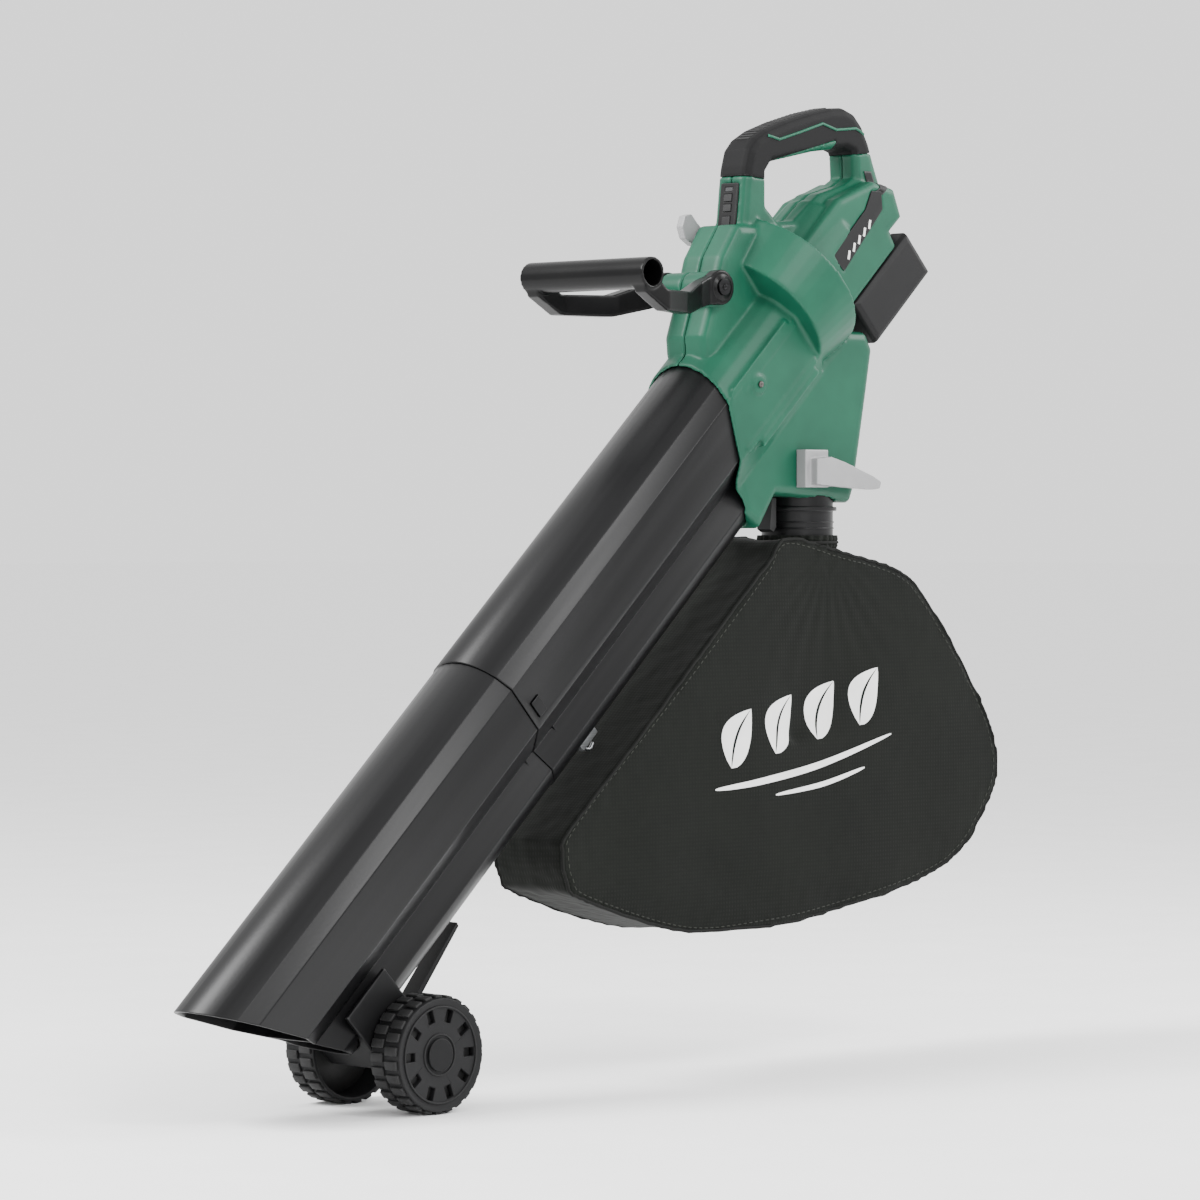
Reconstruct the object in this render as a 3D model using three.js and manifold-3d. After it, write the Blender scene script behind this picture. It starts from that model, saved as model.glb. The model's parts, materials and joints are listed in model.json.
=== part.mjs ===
// Cordless garden blower and vacuum on two guide wheels, millimetres, +Z up.
// +X runs from the nozzle to the battery, -Y is the side that carries the mode lever.
// While it is built, X = 0 is the wheel axle; the last lines move it to the middle of the length.
// Tube coordinates: t runs up along the tubes, n is square to them in the middle plane.
import * as THREE from "three";
import { mergeVertices } from "three/addons/utils/BufferGeometryUtils.js";
import Module from "manifold-3d";

const wasm = await Module();
wasm.setup();

// ---- driving sizes ----
const AXLE_X = -287.44; // where the wheel axle lies once the part is centred on its length
const TUBE_ANGLE = THREE.MathUtils.degToRad(43);
const GAP = 0.3;
const WALL = 3;

const LARGE_R = 58; // suction tube
const LARGE_N = 177;
const FLAT_FROM = THREE.MathUtils.degToRad(-27); // flat sides of the suction tube
const FLAT_TO = THREE.MathUtils.degToRad(25);
const BEVEL_TO = THREE.MathUtils.degToRad(43);
const SMALL_R = 34; // blowing tube under it
const SMALL_N = 106;
const WEB_N = 130;
const JOINT_T = 340; // where the lower tube goes into the upper one
const NECK = 32;
const COLLAR_T = 698; // front edge of the housing collar
const COLLAR_TOP_T = 749;
const COLLAR_TOP_N = 241;
const TUBE_IN_HOUSING = 34;
const MOUTH_FRONT = [-223, 101];
const MOUTH_REAR = [-77, 60];

const FAN_N = 200; // axis of the fan and motor
const FAN_T = 858;
const FAN_DEPTH = 54;
const FAN_R = 76;
const FAN_REAR_R = 86;
const IMPELLER_R = FAN_R - 13;
const MOTOR_R = 37;
const MOTOR_CASE_R = 46;
const MOTOR_END_T = 1002;

const SPIGOT_X = 555;
const SPIGOT_R = 35.5;
const OUTLET_HALF = SPIGOT_R + 2.5;
const SPIGOT_TOP = 574;
const SPIGOT_LOW = 462;
const MODE_X = 528;
const MODE_Z = 586;
const SPEED_X = 462;
const SPEED_Z = 812;

const LOOP_HALF = 20; // half width of the handle loop
const PANEL_LOW = [450.5, 812];
const PANEL_TILT = THREE.MathUtils.degToRad(7.1);
const PANEL_LENGTH = 52;
const SEAT_N = 141; // battery seat
const BATTERY_T = [948, 1057];
const BATTERY_N = [88, 140.4];
const BATTERY_HALF = 38;

const PIVOT_X = 404; // front handle
const PIVOT_Z = 759;
const PIVOT_R = 17;
const BAR_X = 267;
const BAR_Z = 767;
const BAR_R = 15;
const BAR_HALF = 82;

const WHEEL_R = 54;
const WHEEL_Y = [39.5, 77];
const AXLE_R = 4;
const AXLE_Z = WHEEL_R;
const BAG_HALF = 50;

// ---- coordinates ----
const along = new THREE.Vector3(Math.cos(TUBE_ANGLE), 0, Math.sin(TUBE_ANGLE));
const across = new THREE.Vector3(-Math.sin(TUBE_ANGLE), 0, Math.cos(TUBE_ANGLE));
const sideways = new THREE.Vector3(0, 1, 0);
const tubeFrame = new THREE.Matrix4().makeBasis(sideways, across, along);

// The X and Z of a point given by its tube coordinates.
function at(t, n) {
  return [along.x * t + across.x * n, along.z * t + across.z * n];
}

// ---- solids ----
function solid(geometry) {
  const bare = geometry.index ? geometry.toNonIndexed() : geometry.clone();
  bare.deleteAttribute("normal");
  bare.deleteAttribute("uv");
  const merged = mergeVertices(bare, 1e-4);
  const index = merged.index.array;
  const kept = [];
  for (let i = 0; i < index.length; i += 3) {
    const [a, b, c] = [index[i], index[i + 1], index[i + 2]];
    if (a !== b && b !== c && c !== a) kept.push(a, b, c);
  }
  return new wasm.Manifold(
    new wasm.Mesh({
      numProp: 3,
      vertProperties: merged.attributes.position.array,
      triVerts: new Uint32Array(kept),
    }),
  );
}

function join(...solids) {
  return solids.reduce((sum, one) => sum.add(one));
}

function cut(from, ...solids) {
  return solids.reduce((left, one) => left.subtract(one), from);
}

function shapeOf(points) {
  return new THREE.Shape(points.map(([x, y]) => new THREE.Vector2(x, y)));
}

// An X-Z outline made solid from y0 to y1.
function slab(points, y0, y1) {
  const body = new THREE.ExtrudeGeometry(shapeOf(points), { depth: y1 - y0, bevelEnabled: false });
  return solid(body.rotateX(Math.PI / 2).translate(0, y1, 0));
}

// An X-Z outline made solid across the middle plane, its edges rounded by `round`,
// and all of it shrunk by `inset`.
function rounded(points, half, round, inset = 0) {
  const depth = 2 * (half - inset - round);
  const body = new THREE.ExtrudeGeometry(shapeOf(points), {
    depth,
    bevelThickness: round,
    bevelSize: round,
    bevelOffset: -round - inset,
    bevelSegments: 2,
  });
  return solid(body.translate(0, 0, -depth / 2).rotateX(Math.PI / 2));
}

// X-Z outlines of equal length, one at each Y of a rising list, joined into one skin.
function lofted(outlines, ys, bend = (p) => p) {
  const count = outlines[0].length;
  const flat = outlines[0].map(([x, z]) => new THREE.Vector2(x, z));
  const turn = THREE.ShapeUtils.isClockWise(flat) ? -1 : 1;
  const rings = outlines.map((outline) => (turn < 0 ? [...outline].reverse() : outline));
  const ends = [rings[0], rings[rings.length - 1]].map((ring) =>
    THREE.ShapeUtils.triangulateShape(ring.map(([x, z]) => new THREE.Vector2(x, z)), []),
  );
  const index = ends[0].flatMap(([a, b, c]) => [a, b, c]);
  const top = (rings.length - 1) * count;
  index.push(...ends[1].flatMap(([a, b, c]) => [top + a, top + c, top + b]));
  for (let i = 0; i < rings.length - 1; i += 1) {
    for (let j = 0; j < count; j += 1) {
      const [a, b] = [i * count + j, i * count + ((j + 1) % count)];
      index.push(a, a + count, b + count, a, b + count, b);
    }
  }
  const geometry = new THREE.BufferGeometry();
  const positions = rings.flatMap((ring, i) => ring.flatMap(([x, z]) => bend([x, ys[i], z])));
  geometry.setAttribute("position", new THREE.Float32BufferAttribute(positions, 3));
  geometry.setIndex(index);
  return solid(geometry);
}

// A cutter for an opening through the middle plane whose edges are eased where it meets the sides.
function flared(points, half, round) {
  const wide = grown(points, round);
  return lofted([wide, points, points, wide], [-half, round - half, half - round, half]);
}

// A (y, n) outline made solid from t0 to t1 along the tubes.
function run(points, t0, t1) {
  const body = new THREE.ExtrudeGeometry(shapeOf(points), { depth: t1 - t0, bevelEnabled: false });
  return solid(body.translate(0, 0, t0).applyMatrix4(tubeFrame));
}

// A cone or cylinder on an axis along the tubes.
function drum(r0, r1, t0, t1, n, segments = 40, y = 0) {
  const body = new THREE.CylinderGeometry(r1, r0, t1 - t0, segments).rotateX(Math.PI / 2);
  return solid(body.translate(y, n, (t0 + t1) / 2).applyMatrix4(tubeFrame));
}

// A cylinder on an axis along Y.
function pin(r, y0, y1, x, z, segments = 24) {
  return solid(new THREE.CylinderGeometry(r, r, y1 - y0, segments).translate(x, (y0 + y1) / 2, z));
}

// A cylinder on a vertical axis.
function post(r, z0, z1, x, segments = 40) {
  const body = new THREE.CylinderGeometry(r, r, z1 - z0, segments).rotateX(Math.PI / 2);
  return solid(body.translate(x, 0, (z0 + z1) / 2));
}

// A turned piece on an axis along Y: each profile point is [radius, y].
function turned(profile, x, z, segments = 32) {
  const points = profile.map(([r, y]) => new THREE.Vector2(r, y));
  return solid(new THREE.LatheGeometry(points, segments).translate(x, 0, z));
}

// A rectangular block in tube coordinates.
function block(t0, t1, y0, y1, n0, n1) {
  return run([[y0, n0], [y1, n0], [y1, n1], [y0, n1]], t0, t1);
}

// A closed outline moved outwards by `by`, its corners mitred.
function grown(points, by) {
  const turn = Math.sign(THREE.ShapeUtils.area(points.map(([x, y]) => new THREE.Vector2(x, y))));
  return points.map((p, i) => {
    const before = points[(i + points.length - 1) % points.length];
    const after = points[(i + 1) % points.length];
    const a = new THREE.Vector2(p[1] - before[1], before[0] - p[0]).normalize();
    const b = new THREE.Vector2(after[1] - p[1], p[0] - after[0]).normalize();
    const mitre = a.clone().add(b).divideScalar(1 + a.dot(b));
    return [p[0] + mitre.x * by * turn, p[1] + mitre.y * by * turn];
  });
}

// The span between two distances from the middle plane, on one side of it, low end first.
function between(side, near, far) {
  return [Math.min(side * near, side * far), Math.max(side * near, side * far)];
}

// An X-Z outline made solid between two distances from the middle plane, on one side of it.
function sideSlab(points, side, near, far) {
  return slab(points, ...between(side, near, far));
}

// A block on the control panel: from u0 to u1 up it, from d0 to d1 into it.
function panelBlock(u0, u1, half, d0, d1) {
  const up = [Math.sin(PANEL_TILT), Math.cos(PANEL_TILT)];
  const corner = (u, d) => [PANEL_LOW[0] + up[0] * u + up[1] * d, PANEL_LOW[1] + up[1] * u - up[0] * d];
  return slab([corner(u0, d0), corner(u1, d0), corner(u1, d1), corner(u0, d1)], -half, half);
}

// Points on a circle about (0, n) in the (y, n) plane, from one angle to another.
function arc(r, n, from, to, steps) {
  const points = [];
  for (let i = 0; i <= steps; i += 1) {
    const angle = from + ((to - from) * i) / steps;
    points.push([r * Math.cos(angle), n + r * Math.sin(angle)]);
  }
  return points;
}

// ---- pieces ----
const group = new THREE.Group();

function piece(name, body, color, roughness = 0.6, metalness = 0) {
  const mesh = body.simplify(0.02).getMesh();
  const geometry = new THREE.BufferGeometry();
  geometry.setAttribute("position", new THREE.BufferAttribute(mesh.vertProperties, 3));
  geometry.setIndex(new THREE.BufferAttribute(mesh.triVerts, 1));
  geometry.translate(AXLE_X, 0, 0);
  const made = new THREE.Mesh(geometry, new THREE.MeshStandardMaterial({ color, roughness, metalness }));
  made.name = name;
  group.add(made);
  return body;
}

const GREEN = 0x3a7e69;
const BLACK = 0x1c1c1d;
const DARK = 0x3a3a3b;
const GREY = 0xbdbdbd;
const STEEL = 0xb8bcc0;

// Each of left (-1, the mode lever's side) and right (+1).
const SIDES = [["left", -1], ["right", 1]];

// ---- tubes: one section holds both bores ----
const rightSide = [
  ...arc(SMALL_R, SMALL_N, -Math.PI / 2, -0.25, 6),
  [33, 121],
  ...arc(LARGE_R, LARGE_N, FLAT_FROM, FLAT_TO, 1),
  ...arc(LARGE_R, LARGE_N, BEVEL_TO, Math.PI / 2, 5),
];
const leftSide = rightSide.slice(1, -1).reverse().map(([y, n]) => [-y, n]);
const section = [...rightSide, ...leftSide];

// The two bores of a tube between two stations, with the web between them left standing.
function bores(inset, t0, t1) {
  const web = block(t0 - 1, t1 + 1, -80, 80, WEB_N - 1.5, WEB_N + 1.5);
  return cut(run(grown(section, -inset), t0, t1), web);
}

function region(points) {
  return slab(points, -150, 150);
}

const mouthSlope = (MOUTH_REAR[1] - MOUTH_FRONT[1]) / (MOUTH_REAR[0] - MOUTH_FRONT[0]);
function mouthZ(x) {
  return MOUTH_FRONT[1] + mouthSlope * (x - MOUTH_FRONT[0]);
}
const belowMouth = region([[-320, mouthZ(-320)], [-320, -100], [120, -100], [120, mouthZ(120)]]);

const neckEnd = JOINT_T + NECK;
const lowerTube = cut(
  join(run(section, -190, JOINT_T - GAP), run(grown(section, -3.4), -150, neckEnd)),
  bores(5.8, -200, neckEnd + 10),
  bores(WALL, -200, JOINT_T - 14),
  belowMouth,
);

// The face where a tube enters the housing: square for the small bore, oblique for the large one.
function beyond(shift) {
  return region([
    at(COLLAR_T + shift, 20),
    at(COLLAR_T + shift, WEB_N + 1),
    at(COLLAR_TOP_T + shift, COLLAR_TOP_N),
    at(COLLAR_TOP_T + shift + 28, COLLAR_TOP_N + 60),
    at(1300, COLLAR_TOP_N + 60),
    at(1300, 20),
  ]);
}

const upperTube = cut(
  run(grown(section, 1.2), JOINT_T, 860),
  bores(WALL, neckEnd + 2, 870),
  run(grown(section, -3.1), JOINT_T - 1, neckEnd + 2.01),
  beyond(TUBE_IN_HOUSING),
);
const lockHole = block(348, 360, -LARGE_R - 2, 13 - LARGE_R, 158, 176);
piece("upper_tube", cut(upperTube, lockHole), BLACK, 0.45);
const lockSocket = block(348, 360, -LARGE_R - 2, 18 - LARGE_R, 158, 176);
piece("lower_tube", cut(lowerTube, lockSocket), BLACK, 0.45);
piece("tube_catch", block(348 + GAP, 360 - GAP, 3 - LARGE_R, 11.5 - LARGE_R, 158 + GAP, 176 - GAP), DARK);

// ---- housing: outer form, then what is hollow in it ----
const outletOutline = [
  [429, 574], [531, 675], [588, 722], [617, 722], [627, 705], [619, 662], [609, 611], [600, 566],
  [594, 552], [486, 560], [463, 526], [440, 540],
];
const shoulderOutline = [
  at(760, 236), [393, 712], [402, 738], [418, 790], [440, 822], [510, 822], at(880, 200), at(800, 190),
];
const loopOuter = [
  [452, 806], [456, 840], [459, 868], [461, 880], [466, 897], [476, 908], [492, 917], [520, 927],
  [555, 937], [585, 943.5], [605, 945], [620, 940], [632, 928], [642, 911], [649, 893], [660, 868],
  [666, 842], [655, 828], [640, 795], [560, 770], [470, 760],
];
const loopHole = [
  [491, 842], [491, 876], [499, 886], [560, 899], [606, 905], [617, 902], [619, 895], [620, 876],
  [606, 868], [570, 858], [553, 846], [533, 830], [508, 828],
];
const rearOutline = [
  at(905, 140), at(945, SEAT_N), at(1034, SEAT_N), at(1037, 158), [668, 838], [656, 866], [625, 872],
  [600, 862], at(1000, 232), at(905, 232),
];
const gripRegion = region([
  [430, 873], [504, 867], [504, 888], [590, 912], [590, 896], [700, 908], [700, 1000], [430, 1000],
]);
const gripRegionGrown = region([
  [430, 873 - GAP], [504 + GAP, 867 - GAP], [504 + GAP, 888], [590, 912], [590 - GAP, 896 - GAP],
  [700, 908 - GAP], [700, 1000], [430, 1000],
]);

const loop = cut(rounded(loopOuter, LOOP_HALF, 8), flared(loopHole, LOOP_HALF + 1, 6));
const core = cut(rounded(loopOuter, LOOP_HALF, 6, 4), slab(grown(loopHole, 4), -30, 30));
const coreClear = cut(rounded(loopOuter, LOOP_HALF, 6, 4 - GAP), slab(grown(loopHole, 4 - GAP), -30, 30));

const bosses = join(
  pin(PIVOT_R - 1, -29, 29, PIVOT_X, PIVOT_Z),
  pin(11, 15, 41, SPEED_X, SPEED_Z),
);
const ridges = SIDES.flatMap(([, side]) => [
  block(COLLAR_T + 60, 852, ...between(side, LARGE_R - 8, LARGE_R), 196, 203),
  block(COLLAR_T + 22, 852, ...between(side, LARGE_R - 8, LARGE_R), 148, 154),
]);
const bare = join(
  cut(join(run(grown(section, 4.5), 690, 865), ...ridges), region([at(0, 0), at(COLLAR_T, 0),
    at(COLLAR_T, WEB_N + 1), at(COLLAR_TOP_T, COLLAR_TOP_N), at(COLLAR_TOP_T + 28, 300), at(0, 300)])),
  rounded(outletOutline, OUTLET_HALF, 8),
  rounded(shoulderOutline, 29, 8),
  rounded(rearOutline, 40, 6),
  drum(FAN_R, FAN_REAR_R, FAN_T, FAN_T + FAN_DEPTH, FAN_N, 48),
  drum(MOTOR_CASE_R, MOTOR_CASE_R - 3, FAN_T + FAN_DEPTH - 1, MOTOR_END_T - 14, FAN_N),
  drum(MOTOR_CASE_R - 3, 34, MOTOR_END_T - 14.6, MOTOR_END_T, FAN_N),
  cut(loop, gripRegionGrown),
  core,
  bosses,
);

const fanRoom = drum(FAN_R - WALL - 1, FAN_R - WALL - 1, FAN_T + WALL, FAN_T + FAN_DEPTH - 7, FAN_N, 48);
const motorRoom = drum(MOTOR_R + 1.5, MOTOR_R + 1.5, FAN_T + FAN_DEPTH - 2, MOTOR_END_T - 13, FAN_N);
const shaftHole = drum(9, 9, FAN_T, MOTOR_END_T - 20, FAN_N, 24);
const tubeSpace = cut(run(grown(section, 1.2 + GAP), 600, 860), beyond(TUBE_IN_HOUSING + GAP));
const belowDuct = region([at(0, 0), at(COLLAR_T + 20, 0), at(COLLAR_T + 20, 400), at(0, 400)]);
const ductSpace = cut(bores(WALL, 700, 850), belowDuct);
const largeDuct = drum(46, 50, 840, FAN_T + WALL + 1, 185);
const outletRoom = rounded(
  [[450, 582], [531, 662], [600, 700], [622, 700], [609, 645], [600, 600], [590, 562], [500, 568]],
  OUTLET_HALF, 6, WALL,
);
const fanOutlet = block(FAN_T + WALL, FAN_T + 40, -26, 26, 60, 140);
const spigotHole = post(SPIGOT_R + GAP, 500, SPIGOT_TOP + GAP, SPIGOT_X);
const postRoom = slab([[456, 800], [463, 861], [484, 862], [484, 838], [500, 815], [490, 800]], -8.5, 8.5);
const rearRoom = slab([at(958, 151.5), at(1026, 151.5), [648, 850], [632, 862], at(1010, 200)], -16, 16);
const panelSpace = panelBlock(-GAP, PANEL_LENGTH + GAP, 11 + GAP, -1, 4.8);
const panelBack = panelBlock(3, 49.5, 8.5, 4, 12);
const pivotHoles = pin(4 + GAP, -60, 60, PIVOT_X, PIVOT_Z, 16);
const modeHoles = pin(6 + GAP, -60, 60, MODE_X, MODE_Z, 20);
const speedHole = pin(4 + GAP, 5, 60, SPEED_X, SPEED_Z, 16);
const endBearingRoom = drum(9, 9, 985, 996, FAN_N, 24);
const stripeOutline = [[562, 795], [580, 781], [636, 844], [634, 862], [620, 862], [611, 843]];
const stripeSpace = SIDES.map(([, side]) => sideSlab(grown(stripeOutline, GAP), side, 37.5 - GAP, 45));
const railSpace = block(958 - GAP, 1030 + GAP, -18 - GAP, 18 + GAP, SEAT_N - 1, SEAT_N + 6 + GAP);
const tubeScrewX = 438;
const tubeScrewZ = 666;
const screwHoles = pin(2.6 + GAP, -90, 90, tubeScrewX, tubeScrewZ, 12);

const hollowed = cut(
  bare, fanRoom, motorRoom, shaftHole, tubeSpace, ductSpace, largeDuct, outletRoom, fanOutlet, spigotHole,
  postRoom, rearRoom, panelSpace, panelBack, pivotHoles, modeHoles, speedHole, railSpace, screwHoles,
  endBearingRoom, ...stripeSpace,
);
for (const [name, side] of SIDES) {
  const outside = side < 0 ? [-150, -GAP / 2] : [GAP / 2, 150];
  const half = slab([[-400, -100], [900, -100], [900, 1100], [-400, 1100]], ...outside);
  piece("housing_" + name, hollowed.intersect(half), GREEN, 0.5);
}
piece("main_grip", cut(loop.intersect(gripRegion), coreClear), DARK, 0.8);

for (const [name, side] of SIDES) {
  piece("trim_stripe_" + name, sideSlab(stripeOutline, side, 37.5, 40.8), DARK, 0.5);
  const shank = pin(2.6, ...between(side, 44, 60), tubeScrewX, tubeScrewZ, 12);
  const head = pin(4.6, ...between(side, 58, 61), tubeScrewX, tubeScrewZ, 16);
  piece("tube_screw_" + name, join(shank, head), STEEL, 0.35, 0.9);
}

// ---- control panel ----
const BUTTONS = [["power_button", 7, 19], ["boost_button", 24, 31], ["eco_button", 34, 41]];
const panelHoles = BUTTONS.map(([, low, high]) => panelBlock(low - GAP, high + GAP, 5 + GAP, -1, 6));
const windowHole = panelBlock(44 - GAP, 48 + GAP, 5 + GAP, -1, 6);
piece("control_panel", cut(panelBlock(0, PANEL_LENGTH, 11, 0, 4.5), ...panelHoles, windowHole), DARK, 0.5);
for (const [name, low, high] of BUTTONS) piece(name, panelBlock(low, high, 5, -1, 5), 0x2b2b2c, 0.6);
piece("indicator_window", panelBlock(44, 48, 5, 0.2, 6.2), 0xe8e8e8, 0.3);
piece("control_board", panelBlock(3.5, 49, 8.2, 6.8, 8.4), 0x2e6b3a, 0.6);
piece("power_board", block(962, 1022, -15.7, 15.7, 151.8, 153.8), 0x2e6b3a, 0.6);

// ---- levers ----
const speedOutline = [
  [450, 804], [438, 811], [434, 822], [438, 833], [447, 835], [456, 826], [465, 819], [467, 812], [460, 805],
];
const speedKnob = slab(speedOutline, 41 + GAP, 50);
piece("speed_lever", join(speedKnob, pin(4, 14, 42, SPEED_X, SPEED_Z, 16)), GREY, 0.5);

const leverBlock = slab([[512, 567], [545, 567], [545, 604], [512, 604]], -51, -OUTLET_HALF - GAP);
const leverBlade = slab(
  [
    [519, 595], [519, 570], [545, 568], [600, 565], [611, 566], [613, 573], [600, 579], [560, 592], [540, 597],
  ],
  -60, -50,
);
const leverBore = pin(6 + GAP, -47, 0, MODE_X, MODE_Z, 20);
piece("mode_lever", cut(join(leverBlock, leverBlade), leverBore), GREY, 0.5);
piece("mode_shaft", pin(6, -46.5, 34, MODE_X, MODE_Z, 20), DARK, 0.5);
const FLAP_ANGLE = THREE.MathUtils.degToRad(125);
const flapDirection = [Math.cos(FLAP_ANGLE), Math.sin(FLAP_ANGLE)];
const flapCorner = (reach, offset) => [
  MODE_X + flapDirection[0] * reach - flapDirection[1] * offset,
  MODE_Z + flapDirection[1] * reach + flapDirection[0] * offset,
];
const flapOutline = [flapCorner(0, 1.5), flapCorner(40, 1.5), flapCorner(40, -1.5), flapCorner(0, -1.5)];
const flapPlate = slab(flapOutline, -31, 31);
const flapHub = pin(9.5, -31, 31, MODE_X, MODE_Z, 20);
piece("diverter_flap", cut(join(flapPlate, flapHub), pin(6 + GAP, -40, 40, MODE_X, MODE_Z, 20)), DARK);

// ---- motor and fan ----
const shaftBore = drum(5 + GAP, 5 + GAP, 850, 1000, FAN_N, 20);
piece("motor_can", cut(drum(MOTOR_R, MOTOR_R, 914, 984, FAN_N), shaftBore), STEEL, 0.4, 0.8);
piece("motor_shaft", drum(5, 5, 866, 995, FAN_N, 20), STEEL, 0.3, 1);
piece("fan_bearing", cut(drum(8.7, 8.7, 905.5, 910, FAN_N, 24), shaftBore), STEEL, 0.3, 1);
piece("end_bearing", cut(drum(8.7, 8.7, 989.5, 995.5, FAN_N, 24), shaftBore), STEEL, 0.3, 1);
const BLADES = 8;
const BLADE_SPAN = [14, IMPELLER_R - 1];
const bladeLength = BLADE_SPAN[1] - BLADE_SPAN[0];
const bladeMiddle = (BLADE_SPAN[0] + BLADE_SPAN[1]) / 2;
const blades = [];
for (let i = 0; i < BLADES; i += 1) {
  const blade = new THREE.BoxGeometry(bladeLength, 2.6, 30).rotateZ(0.5).translate(bladeMiddle, 0, 882);
  blade.rotateZ((2 * Math.PI * i) / BLADES).translate(0, FAN_N, 0);
  blades.push(solid(blade.applyMatrix4(tubeFrame)));
}
const fanDisc = drum(IMPELLER_R, IMPELLER_R, 896, 899, FAN_N);
const fanHub = drum(13, 20, 866, 897, FAN_N, 24);
piece("impeller", cut(join(fanDisc, fanHub, ...blades), shaftBore), DARK);

// ---- front handle ----
const armSide = slab([
  [256, 762], [260, 749], [290, 732], [340, 731], [385, 741], [404, 743], [404, 775], [385, 768],
  [340, 752], [290, 752], [277, 762],
], -90, 90);
const handle = [pin(BAR_R, -BAR_HALF, BAR_HALF, BAR_X, BAR_Z, 32)];
for (const [, side] of SIDES) {
  const plan = [
    [256, 64], [256, 80], [292, 80], [330, 66], [370, 46], [388, 41], [404, 40.5], [404, 29.3], [376, 29.3],
    [345, 40], [296, 63]].map(([x, y]) => [x, side * y]);
  const arm = new THREE.ExtrudeGeometry(shapeOf(plan), { depth: 120, bevelEnabled: false }).translate(0, 0, 700);
  handle.push(solid(arm).intersect(armSide));
  handle.push(pin(PIVOT_R, ...between(side, 29.3, 41), PIVOT_X, PIVOT_Z, 32));
}
const handleBores = [
  pin(BAR_R - 2.8, -BAR_HALF - 1, BAR_HALF + 1, BAR_X, BAR_Z, 32),
  pin(4 + GAP, -60, 60, PIVOT_X, PIVOT_Z, 16),
];
piece("front_handle", cut(join(...handle), ...handleBores), BLACK, 0.4);
for (const [name, side] of SIDES) {
  const shank = pin(4, ...between(side, 12, 42), PIVOT_X, PIVOT_Z, 16);
  const head = pin(8, ...between(side, 41.3, 45), PIVOT_X, PIVOT_Z, 24);
  piece("pivot_bolt_" + name, join(shank, head), STEEL, 0.3, 1);
}

// ---- battery ----
const packOutline = [
  at(BATTERY_T[0], BATTERY_N[0]), at(BATTERY_T[1], BATTERY_N[0]),
  at(BATTERY_T[1], BATTERY_N[1]), at(BATTERY_T[0], BATTERY_N[1]),
];
const railSlot = join(block(940, 1033, -13.6, 13.6, 131, 145), block(940, 1033, -17.6, 17.6, 126.4, 131.6));
const buttonSlot = block(1040 - GAP, 1060, -15 - GAP, 15 + GAP, 130, 145);
piece("battery_pack", cut(rounded(packOutline, BATTERY_HALF, 6), railSlot, buttonSlot), DARK, 0.6);
piece("battery_release", block(1040, 1056.6, -15, 15, 134, 151), 0x4a4a4b, 0.6);
const rail = join(
  block(958, 1030, -18, 18, SEAT_N - 0.4, SEAT_N + 6),
  block(958, 1030, -13, 13, 130, SEAT_N),
  block(958, 1030, -17, 17, 127, 131),
);
piece("battery_rail", rail, BLACK, 0.6);

// ---- bag ----
const spigot = cut(
  join(post(SPIGOT_R, SPIGOT_LOW, SPIGOT_TOP, SPIGOT_X), post(SPIGOT_R + 3.5, 544, 548, SPIGOT_X)),
  post(SPIGOT_R - 2.5, SPIGOT_LOW - 1, SPIGOT_TOP + 1, SPIGOT_X),
);
piece("bag_spigot", spigot, BLACK, 0.4);
const spigotFront = SPIGOT_X - SPIGOT_R;
const catchOutline = [
  [spigotFront - 13.5, 526], [spigotFront - 8.5, 523], [spigotFront - 4.5, 528], [spigotFront - 4.5, 557],
  [spigotFront - 10.5, 557],
];
piece("spigot_catch", slab(catchOutline, -9, 9), DARK);
const bagOutline = [
  [500, 519], [662, 486], [700, 460], [776, 360], [806, 305], [800, 262], [752, 202], [690, 176],
  [551, 147], [440, 137], [340, 140], [210, 178], [188, 198], [182, 226], [192, 248],
];
const bagRings = [[-1, -17], [-0.86, -4], [-0.4, 2], [0.4, 2], [0.86, -4], [1, -17]];
const bagBody = lofted(
  bagRings.map(([, by]) => grown(bagOutline, by)),
  bagRings.map(([share]) => share * BAG_HALF),
  ([x, y, z]) => [x, y * THREE.MathUtils.clamp(1 - (0.35 * (z - 340)) / 180, 0.65, 1), z],
);
const bagNeck = post(SPIGOT_R + 4, 480, 521, SPIGOT_X);
const bagMouth = post(SPIGOT_R + GAP, SPIGOT_LOW - 4, 530, SPIGOT_X);
piece("bag", cut(join(bagBody, bagNeck), bagMouth), 0x222421, 0.95);
const wireBends = [[249, 325], [256, 319], [265, 318], [269, 324]];
const wire = new THREE.CatmullRomCurve3(wireBends.map(([x, z]) => new THREE.Vector3(x, 0, z)));
const wireRound = shapeOf(arc(1.8, 0, 0, (2 * Math.PI * 7) / 8, 7));
const hookWire = solid(new THREE.ExtrudeGeometry(wireRound, { steps: 10, extrudePath: wire, bevelEnabled: false }));
piece("bag_hook", join(block(398, 424, -8, 8, 62, 70.4), hookWire), DARK, 0.4, 0.5);

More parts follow.
